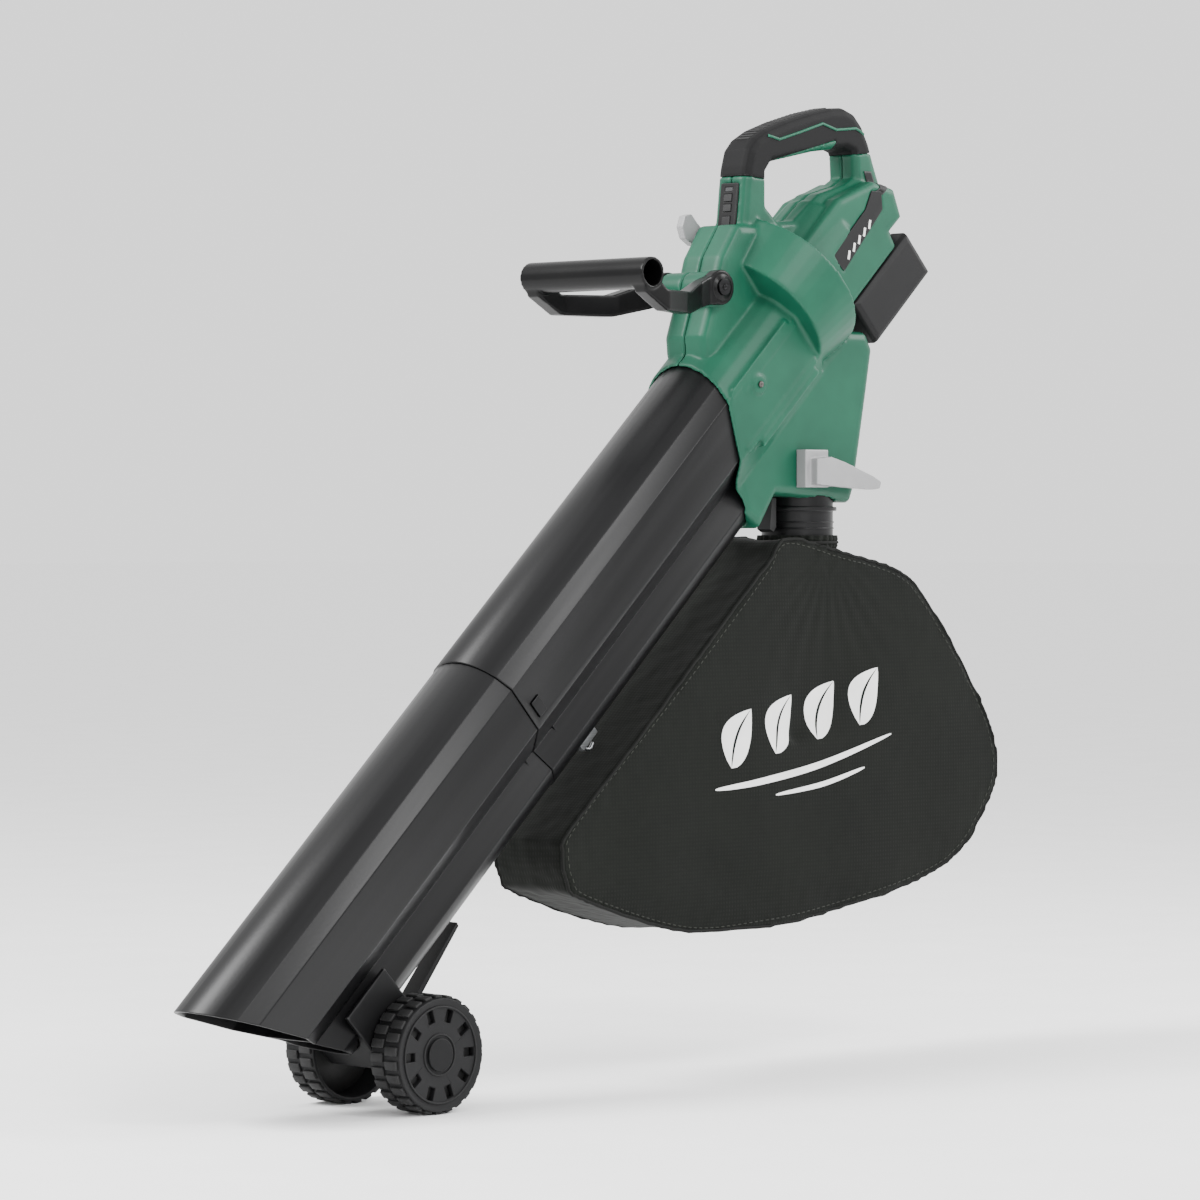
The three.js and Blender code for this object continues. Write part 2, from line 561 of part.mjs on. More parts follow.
// ---- wheels ----
const cradle = cut(
  block(4, 66, -38, 38, 50, 119),
  run(grown(section, GAP + 0.1), -60, 120),
);
const plateOutline = [at(8, 52), at(66, 52), at(66, 42), [9, 46], [-9, 46]];
const plates = SIDES.map(([, side]) => sideSlab(plateOutline, side, 24, 31));
const axleTube = pin(9, -32, 32, 0, AXLE_Z);
const bracketHoles = [pin(AXLE_R + GAP, -60, 60, 0, AXLE_Z), pin(2 + GAP, -60, 60, ...at(60, 46), 12)];
piece("wheel_bracket", cut(join(cradle, ...plates, axleTube), ...bracketHoles), BLACK, 0.5);
const tongue = slab([at(57, 43), at(66, 43), at(172, 60), at(173, 64), at(66, 49.5), at(57, 48.5)], -10, 10);
piece("bracket_latch", cut(tongue, pin(2 + GAP, -60, 60, ...at(60, 46), 12)), DARK);
piece("latch_pin", pin(2, -31, 31, ...at(60, 46), 12), STEEL, 0.3, 1);
piece("wheel_axle", pin(AXLE_R, -73.5, 73.5, 0, AXLE_Z), STEEL, 0.3, 1);
const [inner, outer] = WHEEL_Y;
const wheelProfile = [
  [AXLE_R + GAP, inner + 4], [11, inner + 4], [11, outer - 8], [47, outer - 8], [48, inner], [52.5, inner],
  [WHEEL_R, inner + 2.5], [WHEEL_R, outer - 3], [51, outer], [46, outer - 1.5], [16, outer - 3],
  [AXLE_R + GAP, outer - 3],
];
const WINDOWS = 10;
for (const [name, side] of SIDES) {
  const profile = wheelProfile.map(([radius, y]) => [radius, side * y]);
  if (side < 0) profile.reverse();
  profile.push(profile[0]);
  const windows = [];
  for (let i = 0; i < WINDOWS; i += 1) {
    const window = new THREE.BoxGeometry(12, 20, 8).translate(36, side * (outer - 5), 0);
    windows.push(solid(window.rotateY((2 * Math.PI * i) / WINDOWS).translate(0, 0, AXLE_Z)));
  }
  piece("wheel_" + name, cut(turned(profile, 0, AXLE_Z, 36), ...windows), BLACK, 0.8);
  piece("hub_cap_" + name, pin(15, ...between(side, outer - 2.7, outer), 0, AXLE_Z), 0x2b2b2c, 0.6);
}

export default group;
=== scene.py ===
"""Cordless garden blower and vacuum: twin tubes, green housing, front handle, bag and guide wheels."""

import json
import math

import bmesh
import bpy
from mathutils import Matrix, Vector, noise
from mathutils.bvhtree import BVHTree


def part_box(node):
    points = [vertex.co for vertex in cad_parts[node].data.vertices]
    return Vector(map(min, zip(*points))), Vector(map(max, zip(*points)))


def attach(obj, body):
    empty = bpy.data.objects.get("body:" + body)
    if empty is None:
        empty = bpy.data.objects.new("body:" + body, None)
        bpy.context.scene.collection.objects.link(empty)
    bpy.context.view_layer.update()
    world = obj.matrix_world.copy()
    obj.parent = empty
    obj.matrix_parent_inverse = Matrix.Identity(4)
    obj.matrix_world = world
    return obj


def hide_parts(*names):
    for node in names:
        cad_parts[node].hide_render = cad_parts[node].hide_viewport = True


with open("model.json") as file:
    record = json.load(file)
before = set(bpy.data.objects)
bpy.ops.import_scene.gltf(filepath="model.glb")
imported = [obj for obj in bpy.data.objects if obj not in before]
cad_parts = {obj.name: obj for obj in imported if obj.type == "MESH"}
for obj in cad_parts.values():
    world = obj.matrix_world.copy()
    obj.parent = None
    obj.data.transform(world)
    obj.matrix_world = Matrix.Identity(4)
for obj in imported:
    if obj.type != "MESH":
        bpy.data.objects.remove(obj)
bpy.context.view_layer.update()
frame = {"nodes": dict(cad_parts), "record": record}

# ---- Studio ----
# Pale sealed floor, one large soft key light high on the nozzle side, weaker lights on the
# left and behind, and a long lens that looks across the machine from its front left.


def linear(hex_colour):
    """An sRGB hex colour as the linear RGBA that Blender's sockets take."""
    parts = [int(hex_colour[i : i + 2], 16) / 255 for i in (1, 3, 5)]
    return [c / 12.92 if c <= 0.04045 else ((c + 0.055) / 1.055) ** 2.4 for c in parts] + [1.0]


def add(tree, kind, values=None, links=None, **properties):
    """Adds one node to a tree, with its properties, socket values and incoming links."""
    made = tree.nodes.new(kind)
    for name, value in properties.items():
        setattr(made, name, value)
    for socket, value in (values or {}).items():
        made.inputs[socket].default_value = value
    for socket, source in (links or {}).items():
        tree.links.new(source, made.inputs[socket])
    return made


def new_material(name, **constants):
    """A material with only an output and a Principled shader, whose constant sockets are set here."""
    material = bpy.data.materials.new(name)
    material.use_nodes = True
    tree = material.node_tree
    tree.nodes.clear()
    shader = add(tree, "ShaderNodeBsdfPrincipled", constants)
    add(tree, "ShaderNodeOutputMaterial", links={"Surface": shader.outputs["BSDF"]})
    return material, tree, shader


def two_tone(tree, factor, dark, light):
    """A ramp from a dark to a light hex colour over the middle of a 0 to 1 factor."""
    ramp = add(tree, "ShaderNodeValToRGB", links={"Fac": factor})
    for stop, position, colour in zip(ramp.color_ramp.elements, (0.3, 0.75), (dark, light)):
        stop.position = position
        stop.color = linear(colour)
    return ramp.outputs["Color"]


def new_object(name, data):
    made = bpy.data.objects.new(name, data)
    bpy.context.scene.collection.objects.link(made)
    return made


def sealed_floor():
    """Sealed pale floor paint, nearly matt, mottled over hand widths."""
    material, tree, shader = new_material("pale_floor_paint", **{"Roughness": 0.9, "Specular IOR Level": 0.1})
    place = add(tree, "ShaderNodeTexCoord")
    mottle = add(tree, "ShaderNodeTexNoise", {"Scale": 9.0, "Detail": 2.0},
                 {"Vector": place.outputs["Object"]})
    tree.links.new(two_tone(tree, mottle.outputs["Fac"], "#FAFAFA", "#FEFEFE"), shader.inputs["Base Color"])
    mesh = bpy.data.meshes.new("floor")
    reach = 40
    corners = [(-reach, -reach, 0), (reach, -reach, 0), (reach, reach, 0), (-reach, reach, 0)]
    mesh.from_pydata(corners, [], [(0, 1, 2, 3)])
    mesh.materials.append(material)
    new_object("floor", mesh)


def soft_light(name, place, target, size, power):
    """A round area light: metres, metres, metres across, watts."""
    lamp = bpy.data.lights.new(name, "AREA")
    lamp.shape = "DISK"
    lamp.size = size
    lamp.energy = power
    made = new_object(name, lamp)
    made.location = place
    made.rotation_euler = (Vector(target) - Vector(place)).to_track_quat("-Z", "Y").to_euler()


wheel_low, wheel_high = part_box("wheel_left")
AXLE = Vector(((wheel_low.x + wheel_high.x) / 2, 0.0, (wheel_low.z + wheel_high.z) / 2))
CAMERA_FROM_AXLE = Vector((-2.9474, -3.2260, 0.4848))
CAMERA_HEADING = math.radians(-45)
CAMERA_DOWN = math.radians(1.0)
MACHINE_MIDDLE = (0.0, 0.0, 0.5)

sealed_floor()
soft_light("key_light", (-2.4, 1.2, 3.0), MACHINE_MIDDLE, 1.8, 210.0)
soft_light("fill_light", (-1.2, -3.4, 1.9), MACHINE_MIDDLE, 2.4, 42.0)
soft_light("strip_light", (0.0, -2.4, 2.5), MACHINE_MIDDLE, 0.9, 48.0)
soft_light("rim_light", (2.2, -1.2, 2.0), (0.1, 0.0, 0.6), 1.4, 55.0)
world = bpy.data.worlds.new("studio")
world.use_nodes = True
sky = world.node_tree.nodes["Background"]
sky.inputs["Color"].default_value = linear("#FFFFFF")
sky.inputs["Strength"].default_value = 1.5
bpy.context.scene.world = world
lens = bpy.data.cameras.new("camera")
lens.lens = 144.0
lens.sensor_width = 36.0
lens.clip_end = 100.0
camera = new_object("camera", lens)
camera.location = AXLE + CAMERA_FROM_AXLE
level = math.cos(CAMERA_DOWN)
ahead = (-math.sin(CAMERA_HEADING) * level, math.cos(CAMERA_HEADING) * level)
looking = Vector((*ahead, -math.sin(CAMERA_DOWN)))
camera.rotation_euler = looking.to_track_quat("-Z", "Y").to_euler()
bpy.context.scene.camera = camera

# ---- Housing shells ----
# Two injection-moulded ABS shells screwed together on the middle plane. The mould leaves
# a fine spark-eroded grain, generous fillets and a hairline parting joint.

MM = 0.001
TUBE_ANGLE = math.radians(43)
ALONG = Vector((math.cos(TUBE_ANGLE), 0.0, math.sin(TUBE_ANGLE)))
ACROSS = Vector((-math.sin(TUBE_ANGLE), 0.0, math.cos(TUBE_ANGLE)))
SIDES = (("left", -1), ("right", 1))
body_of = {node: body for body, held in frame["record"]["behaviour"]["bodies"].items() for node in held}


def on_tubes(t, y, n):
    """A point from millimetres along, beside and square to the tubes, counted from under the axle."""
    return Vector((AXLE.x, y * MM, 0.0)) + (ALONG * t + ACROSS * n) * MM


def at_place(x, y, z):
    """A point from millimetres behind the axle, towards the right side, and above the floor."""
    return Vector((AXLE.x + x * MM, y * MM, z * MM))


def moulded(name, dark, light, roughness, grain_mm, depth, gloss=0.5, rubbed="#FFFFFF", wear=0.12):
    """An injection-moulded plastic: clouded colour, mould grain of a given size, paler rubbed edges."""
    material, tree, shader = new_material(name, **{"IOR": 1.5, "Specular IOR Level": gloss})
    place = {"Vector": add(tree, "ShaderNodeTexCoord").outputs["Object"]}
    clouds = add(tree, "ShaderNodeTexNoise", {"Scale": 14.0, "Detail": 4.0, "Roughness": 0.6}, place)
    colour = two_tone(tree, clouds.outputs["Fac"], dark, light)
    shape = add(tree, "ShaderNodeNewGeometry")
    edge = add(tree, "ShaderNodeMapRange", {"From Min": 0.53, "From Max": 0.62, "To Max": wear},
               {"Value": shape.outputs["Pointiness"]})
    worn = add(tree, "ShaderNodeMix", {"B": linear(rubbed)},
               {"Factor": edge.outputs["Result"], "A": colour}, data_type="RGBA")
    tree.links.new(worn.outputs["Result"], shader.inputs["Base Color"])
    sheen = add(tree, "ShaderNodeMapRange", {"To Min": roughness - 0.07, "To Max": roughness + 0.08},
                {"Value": clouds.outputs["Fac"]})
    tree.links.new(sheen.outputs["Result"], shader.inputs["Roughness"])
    grain = add(tree, "ShaderNodeTexNoise", {"Scale": 1000 / grain_mm, "Detail": 2.0}, place)
    bump = add(tree, "ShaderNodeBump", {"Strength": depth, "Distance": 0.0002},
               {"Height": grain.outputs["Fac"]})
    tree.links.new(bump.outputs["Normal"], shader.inputs["Normal"])
    return material


def merged_copy(node):
    """A CAD node's loose triangles as a new welded mesh."""
    mesh = frame["nodes"][node].data.copy()
    mesh.materials.clear()
    work = bmesh.new()
    work.from_mesh(mesh)
    bmesh.ops.remove_doubles(work, verts=work.verts, dist=0.02 * MM)
    bmesh.ops.dissolve_degenerate(work, dist=0.005 * MM, edges=work.edges)
    work.to_mesh(mesh)
    work.free()
    return mesh


def applied(piece):
    """Turns a piece into the plain mesh that its modifiers make."""
    graph = bpy.context.evaluated_depsgraph_get()
    mesh = bpy.data.meshes.new_from_object(piece.evaluated_get(graph))
    piece.modifiers.clear()
    piece.data = mesh
    return piece


def belongs_to(piece, material, node):
    """Gives a finished piece its material, and the body of the CAD node it sits on."""
    piece.data.materials.clear()
    piece.data.materials.append(material)
    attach(piece, body_of[node])


def stands_for(piece, material, *nodes):
    """Finishes a piece as belongs_to does, and shows it instead of the CAD nodes."""
    belongs_to(piece, material, nodes[0])
    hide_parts(*nodes)


def add_prism(work, outline, start, end):
    """Adds a closed prism to a bmesh: an outline of points swept from one offset to another."""
    bottom = [work.verts.new(point + start) for point in outline]
    top = [work.verts.new(point + end) for point in outline]
    faces = [work.faces.new(bottom), work.faces.new(list(reversed(top)))]
    for i, low in enumerate(bottom):
        after = (i + 1) % len(bottom)
        faces.append(work.faces.new((bottom[after], low, top[i], top[after])))
    bmesh.ops.recalc_face_normals(work, faces=faces)


def filleted(name, mesh, voxel_mm, passes):
    """A moulding with every corner rounded: its solids fused in voxels, then relaxed."""
    piece = new_object(name, mesh)
    fuse = piece.modifiers.new("fuse", "REMESH")
    fuse.mode = "VOXEL"
    fuse.voxel_size = voxel_mm * MM
    fuse.use_smooth_shade = True
    relax = piece.modifiers.new("relax", "SMOOTH")
    relax.factor = 0.5
    relax.iterations = passes
    return applied(piece)


GREEN_ABS = moulded("spark_grained_green_abs", "#084331", "#0C513B", 0.44, 1.6, 0.12, gloss=0.28,
                    rubbed="#4FA585", wear=0.2)
# Each land: its low and high edge square to the tubes, and its depth from the middle plane.
LANDS = ((203, 209, 40, 58), (140, 147, 40, 60))
LAND_FROM = 736
LAND_TO = 846
TUBE_SCREW_AT = (438, 666)
PAD_RADIUS = 9
PAD_SIDES = 24
PAD_FACE = 59.5
for side_name, side in SIDES:
    shell = merged_copy("housing_" + side_name)
    work = bmesh.new()
    work.from_mesh(shell)
    out = Vector((0.0, side * MM, 0.0))
    # Long lands run back from the collar to the fan drum, and one pad carries the tube screw.
    for n_low, n_high, y_low, y_high in LANDS:
        corners = ((LAND_FROM, n_low), (LAND_TO, n_low), (LAND_TO, n_high), (LAND_FROM + 8, n_high))
        add_prism(work, [on_tubes(t, 0, n) for t, n in corners], out * y_low, out * y_high)
    pad = []
    for i in range(PAD_SIDES):
        angle = i * math.tau / PAD_SIDES
        x = TUBE_SCREW_AT[0] + PAD_RADIUS * math.cos(angle)
        z = TUBE_SCREW_AT[1] + PAD_RADIUS * math.sin(angle)
        pad.append(at_place(x, 0, z))
    add_prism(work, pad, out * 46, out * PAD_FACE)
    work.to_mesh(shell)
    work.free()
    stands_for(filleted("shell_" + side_name, shell, 1.8, 3), GREEN_ABS, "housing_" + side_name)

# ---- Housing screws ----
# Self-tapping pan-head screws of blackened steel hold the shells together, and a dull zinc one
# on each side holds the tube. A plain round recess stands for the drive in each low dome.


def zinc_plate(name, dark, light, roughness):
    """Plated steel: faintly brushed, with cloudier and clearer patches."""
    material, tree, shader = new_material(name, Metallic=1.0)
    place = add(tree, "ShaderNodeTexCoord")
    stretch = add(tree, "ShaderNodeMapping", {"Scale": (40.0, 900.0, 900.0)},
                  {"Vector": place.outputs["Object"]})
    lines = add(tree, "ShaderNodeTexNoise", {"Scale": 1.0, "Detail": 3.0},
                {"Vector": stretch.outputs["Vector"]})
    tree.links.new(two_tone(tree, lines.outputs["Fac"], dark, light), shader.inputs["Base Color"])
    sheen = add(tree, "ShaderNodeMapRange", {"To Min": roughness - 0.1, "To Max": roughness + 0.1},
                {"Value": lines.outputs["Fac"]})
    tree.links.new(sheen.outputs["Result"], shader.inputs["Roughness"])
    bump = add(tree, "ShaderNodeBump", {"Strength": 0.15, "Distance": 0.0001},
               {"Height": lines.outputs["Fac"]})
    tree.links.new(bump.outputs["Normal"], shader.inputs["Normal"])
    return material


def turned(name, profile, steps=32):
    """A small turned mesh about Z, from millimetre (radius, height) points that start and end on it."""
    work = bmesh.new()
    rings = []
    for radius, height in profile:
        if radius == 0:
            rings.append([work.verts.new((0, 0, height * MM))] * steps)
            continue
        ring_of_verts = []
        for i in range(steps):
            angle = i * math.tau / steps
            place = (radius * math.cos(angle), radius * math.sin(angle), height)
            ring_of_verts.append(work.verts.new([v * MM for v in place]))
        rings.append(ring_of_verts)
    for low, high in zip(rings, rings[1:]):
        for i in range(steps):
            j = (i + 1) % steps
            corners = list(dict.fromkeys((low[i], low[j], high[j], high[i])))
            if len(corners) > 2:
                work.faces.new(corners)
    bmesh.ops.recalc_face_normals(work, faces=work.faces)
    for face in work.faces:
        face.smooth = True
    mesh = bpy.data.meshes.new(name)
    work.to_mesh(mesh)
    work.free()
    return mesh


def set_out_tree(resampled):
    """Geometry nodes that set copies of one item on a path, or on its points, turned to face outwards."""
    tree = bpy.data.node_groups.new("set_out_along_path", "GeometryNodeTree")
    face = tree.interface
    face.new_socket("Geometry", in_out="INPUT", socket_type="NodeSocketGeometry")
    face.new_socket("Item", in_out="INPUT", socket_type="NodeSocketObject")
    face.new_socket("Spacing", in_out="INPUT", socket_type="NodeSocketFloat")
    face.new_socket("Material", in_out="INPUT", socket_type="NodeSocketMaterial")
    face.new_socket("Geometry", in_out="OUTPUT", socket_type="NodeSocketGeometry")
    given = add(tree, "NodeGroupInput")
    path = given.outputs["Geometry"]
    if resampled:
        curve = add(tree, "GeometryNodeMeshToCurve", links={"Mesh": path})
        path = add(tree, "GeometryNodeResampleCurve", links={"Curve": curve.outputs["Curve"],
                   "Length": given.outputs["Spacing"]}, mode="LENGTH").outputs["Curve"]
    outward = add(tree, "GeometryNodeInputNamedAttribute", {"Name": "outward"}, data_type="FLOAT_VECTOR")
    forward = add(tree, "GeometryNodeInputNamedAttribute", {"Name": "forward"}, data_type="FLOAT_VECTOR")
    facing = add(tree, "FunctionNodeAlignRotationToVector",
                 links={"Vector": outward.outputs["Attribute"]}, axis="Z")
    turn = add(tree, "FunctionNodeAlignRotationToVector", links={"Rotation": facing.outputs["Rotation"],
               "Vector": forward.outputs["Attribute"]}, axis="X", pivot_axis="Z")
    item = add(tree, "GeometryNodeObjectInfo", links={"Object": given.outputs["Item"]})
    copies = add(tree, "GeometryNodeInstanceOnPoints", links={
        "Points": path, "Instance": item.outputs["Geometry"], "Rotation": turn.outputs["Rotation"]})
    plain = add(tree, "GeometryNodeRealizeInstances", links={"Geometry": copies.outputs["Instances"]})
    coloured = add(tree, "GeometryNodeSetMaterial", links={
        "Geometry": plain.outputs["Geometry"], "Material": given.outputs["Material"]})
    add(tree, "NodeGroupOutput", links={"Geometry": coloured.outputs["Geometry"]})
    return tree


def set_out(name, item_mesh, path, material, spacing_mm=None, closed=False):
    """Copies of a small mesh along a path of (point, outward, forward), as one plain mesh object."""
    guide = bpy.data.meshes.new(name)
    count = len(path)
    edges = [(i, (i + 1) % count) for i in range(count if closed else count - 1)]
    guide.from_pydata([step[0] for step in path], edges if spacing_mm else [], [])
    for which, label in ((1, "outward"), (2, "forward")):
        held = guide.attributes.new(label, "FLOAT_VECTOR", "POINT")
        held.data.foreach_set("vector", [v for step in path for v in step[which]])
    piece = new_object(name, guide)
    item = new_object(name + "_item", item_mesh)
    modifier = piece.modifiers.new("set_out", "NODES")
    modifier.node_group = set_out_tree(spacing_mm is not None)
    offered = modifier.node_group.interface.items_tree
    sockets = {socket.name: socket.identifier for socket in offered if socket.in_out == "INPUT"}
    modifier[sockets["Item"]] = item
    modifier[sockets["Spacing"]] = (spacing_mm or 1.0) * MM
    modifier[sockets["Material"]] = material
    applied(piece)
    bpy.data.objects.remove(item)
    return piece


ZINC = zinc_plate("zinc_plated_steel", "#8E9092", "#B4B6B8", 0.35)
DULL_ZINC = zinc_plate("dull_zinc_plated_steel", "#4A4644", "#6A6562", 0.5)
BLACKENED = zinc_plate("blackened_steel", "#1C1C1D", "#2B2B2C", 0.42)
SCREW_HEAD = [(0, 0.6), (1.3, 0.6), (1.5, 1.5), (2.4, 1.3), (3.1, 0.5), (3.2, -0.6), (0, -0.8)]
SCREW_PLACES = [(486, 700), (560, 650), (596, 607), (487, 613), (466, 655)]


def skin_of(name):
    """A finished piece as a tree that can be hit by rays."""
    return BVHTree.FromObject(bpy.data.objects[name], bpy.context.evaluated_depsgraph_get())


BACK = Vector((1, 0, 0))
RIGHT = Vector((0, 1, 0))
for side_name, side in SIDES:
    # The screws that join the shells all go in from the right.
    if side_name == "right":
        shell_wall = skin_of("shell_right")
        seats = [shell_wall.ray_cast(at_place(x, 140, z), -RIGHT)[0] for x, z in SCREW_PLACES]
        screw_path = [(seat, RIGHT, BACK) for seat in seats if seat]
        screws = set_out("housing_screws", turned("screw", SCREW_HEAD), screw_path, BLACKENED)
        belongs_to(screws, BLACKENED, "housing_right")
    place = at_place(TUBE_SCREW_AT[0], side * (PAD_FACE + 1), TUBE_SCREW_AT[1])
    tube_screw = set_out("tube_screw_head_" + side_name, turned("tube_screw", SCREW_HEAD),
                         [(place, RIGHT * side, BACK)], DULL_ZINC)
    stands_for(tube_screw, DULL_ZINC, "tube_screw_" + side_name)

# ---- Tubes ----
# Blow-moulded twin tubes in black polypropylene: a wide suction bore over a small blowing
# bore. The surface is satin, with long flow streaks that run down the tube.

SHARP_FROM = math.radians(28)


def edge_rounded(name, mesh, width_mm, segments=2):
    """A moulding whose sharp edges are broken by a small radius, and whose flats are kept flat."""
    for face in mesh.polygons:
        face.use_smooth = True
    piece = new_object(name, mesh)
    bevel = piece.modifiers.new("round", "BEVEL")
    bevel.width = width_mm * MM
    bevel.segments = segments
    bevel.limit_method = "ANGLE"
    bevel.angle_limit = SHARP_FROM
    bevel.use_clamp_overlap = False
    piece.modifiers.new("even", "WEIGHTED_NORMAL").keep_sharp = False
    return applied(piece)


def streaked_polypropylene():
    """Satin black polypropylene: colour and gloss drawn out in streaks along the tube."""
    material, tree, shader = new_material("satin_black_polypropylene", **{
        "IOR": 1.49, "Specular IOR Level": 0.22})
    place = add(tree, "ShaderNodeTexCoord")
    turn = add(tree, "ShaderNodeMapping", {"Rotation": (0.0, TUBE_ANGLE, 0.0)},
               {"Vector": place.outputs["Object"]})
    stretch = add(tree, "ShaderNodeMapping", {"Scale": (2.5, 70.0, 70.0)}, {"Vector": turn.outputs["Vector"]})
    flow = add(tree, "ShaderNodeTexNoise", {"Scale": 1.0, "Detail": 4.0, "Roughness": 0.55},
               {"Vector": stretch.outputs["Vector"]})
    tree.links.new(two_tone(tree, flow.outputs["Fac"], "#0A0A0B", "#111112"), shader.inputs["Base Color"])
    sheen = add(tree, "ShaderNodeMapRange", {"To Min": 0.27, "To Max": 0.42}, {"Value": flow.outputs["Fac"]})
    tree.links.new(sheen.outputs["Result"], shader.inputs["Roughness"])
    orange_peel = add(tree, "ShaderNodeTexNoise", {"Scale": 330.0, "Detail": 2.0},
                      {"Vector": place.outputs["Object"]})
    both = add(tree, "ShaderNodeMath", links={0: flow.outputs["Fac"], 1: orange_peel.outputs["Fac"]},
               operation="ADD")
    bump = add(tree, "ShaderNodeBump", {"Strength": 0.12, "Distance": 0.0004},
               {"Height": both.outputs["Value"]})
    tree.links.new(bump.outputs["Normal"], shader.inputs["Normal"])
    return material


# Half width and height of the lines where one face of the tubes' section meets the next.
SECTION_CORNERS = ((42.4, 216.6), (52.6, 201.5), (51.7, 150.7), (32.9, 97.6))
SECTION_VALLEY = (33, 121)
VALLEY_ENDS = (97.6, 150.7)
VALLEY_DEPTH = 9
LINE_REACH = 2.2  # how far from such a line an edge of the tube may lie and still be on it
WALL_FROM = 15  # the walls lie further than this from the middle plane


def on_section(point):
    """Half width and height of a point in the tubes' own section, in millimetres."""
    return Vector((abs(point.y), (point - Vector((AXLE.x, 0, 0))).dot(ACROSS))) / MM


def creased_tube(name, node):
    """A tube with a deep valley between its bores, and a small radius along each line of its section."""
    mesh = merged_copy(node)
    work = bmesh.new()
    work.from_mesh(mesh)
    bmesh.ops.dissolve_limit(work, angle_limit=math.radians(0.4), verts=work.verts, edges=work.edges)
    weight = work.edges.layers.float.new("bevel_weight_edge")
    lines = [Vector(corner) for corner in SECTION_CORNERS + (SECTION_VALLEY,)]
    for edge in work.edges:
        ends = [on_section(vert.co) for vert in edge.verts]
        on_line = any(all((end - line).length < LINE_REACH for end in ends) for line in lines)
        if on_line or edge.calc_face_angle(0) > SHARP_FROM:
            edge[weight] = 1.0
    for vert in work.verts:
        half, n = on_section(vert.co)
        end = VALLEY_ENDS[n > SECTION_VALLEY[1]]
        share = 1 - abs(n - SECTION_VALLEY[1]) / abs(end - SECTION_VALLEY[1])
        if half > WALL_FROM and share > 0:
            vert.co.y -= math.copysign(VALLEY_DEPTH * share * MM, vert.co.y)
    for face in work.faces:
        face.smooth = True
    work.to_mesh(mesh)
    work.free()
    tube = new_object(name, mesh)
    bevel = tube.modifiers.new("round", "BEVEL")
    bevel.width = 1.1 * MM
    bevel.segments = 3
    bevel.limit_method = "WEIGHT"
    bevel.harden_normals = True
    bevel.use_clamp_overlap = False
    return applied(tube)


BLACK_PP = streaked_polypropylene()
stands_for(creased_tube("suction_tube_upper", "upper_tube"), BLACK_PP, "upper_tube")
stands_for(creased_tube("suction_tube_lower", "lower_tube"), BLACK_PP, "lower_tube")
stands_for(edge_rounded("tube_catch_button", merged_copy("tube_catch"), 0.8), BLACK_PP, "tube_catch")

# ---- Handle grip ----
# Thermoplastic elastomer moulded over the loop, soft and nearly matt. Raised ribs cross its
# top, and a green ABS bead shows through along each side.


def swept(name, points, radius_mm, closed=False):
    """A round bead along a path of points, as a plain mesh object."""
    curve = bpy.data.curves.new(name, "CURVE")
    curve.dimensions = "3D"
    curve.bevel_depth = radius_mm * MM
    curve.bevel_resolution = 3
    curve.use_fill_caps = not closed
    line = curve.splines.new("POLY")
    line.points.add(len(points) - 1)
    line.points.foreach_set("co", [v for p in points for v in (p.x, p.y, p.z, 1.0)])
    line.use_cyclic_u = closed
    piece = new_object(name, curve)
    graph = bpy.context.evaluated_depsgraph_get()
    mesh = bpy.data.meshes.new_from_object(piece.evaluated_get(graph))
    bpy.data.objects.remove(piece)
    for face in mesh.polygons:
        face.use_smooth = True
    return new_object(name, mesh)


def smoothed(points, steps, closed=False):
    """A path through the given points with round bends, cut into even steps between each pair."""
    made = []
    count = len(points)
    for i in range(count if closed else count - 1):
        if closed:
            p0, p1, p2, p3 = (points[(i + k) % count] for k in (-1, 0, 1, 2))
        else:
            p0, p1, p2, p3 = (points[min(max(i + k, 0), count - 1)] for k in (-1, 0, 1, 2))
        for step in range(steps):
            s = step / steps
            square = (2 * p0 - 5 * p1 + 4 * p2 - p3) * s * s
            cube = (3 * p1 - p0 - 3 * p2 + p3) * s ** 3
            made.append(0.5 * (2 * p1 + (p2 - p0) * s + square + cube))
    if not closed:
        made.append(points[-1])
    return made


def straight(points, steps):
    """A path through the given points with sharp bends, cut into even steps between each pair."""
    made = [p.lerp(q, step / steps) for p, q in zip(points, points[1:]) for step in range(steps)]
    return made + [points[-1]]


def block_item(name, size_mm, radius_mm):
    """A small block with rounded edges, its middle at the origin, long side along X."""
    work = bmesh.new()
    bmesh.ops.create_cube(work, size=1.0)
    for vert in work.verts:
        vert.co = Vector([v * s * MM for v, s in zip(vert.co, size_mm)])
    bmesh.ops.bevel(work, geom=work.edges, offset=radius_mm * MM, segments=2, affect="EDGES", profile=0.5)
    for face in work.faces:
        face.smooth = True
    mesh = bpy.data.meshes.new(name)
    work.to_mesh(mesh)
    work.free()
    return mesh


GRIP_TPE = moulded("matt_thermoplastic_elastomer", "#0B0B0C", "#111112", 0.66, 1.2, 0.3, gloss=0.16,
                   wear=0.05)
grip = filleted("overmoulded_grip", merged_copy("main_grip"), 1.3, 3)
stands_for(grip, GRIP_TPE, "main_grip")
grip_skin = skin_of("overmoulded_grip")
GRIP_TOP = [(476, 909), (500, 920), (530, 930), (560, 938), (588, 944)]
GRIP_LINE = [(492, 911), (507, 908), (538, 917), (570, 927), (590, 922), (619, 925), (632, 920)]
top_line = smoothed([at_place(x, 0, z) for x, z in GRIP_TOP], 12)
rib_path = []
for before, after in zip(top_line, top_line[1:]):
    forward = (after - before).normalized()
    above = Vector((-forward.z, 0, forward.x))
    hit = grip_skin.ray_cast(before + above * 0.03, -above)[0]
    if hit:
        rib_path.append((hit, above, forward))
rib = block_item("rib", (2.4, 17, 1.6), 0.6)
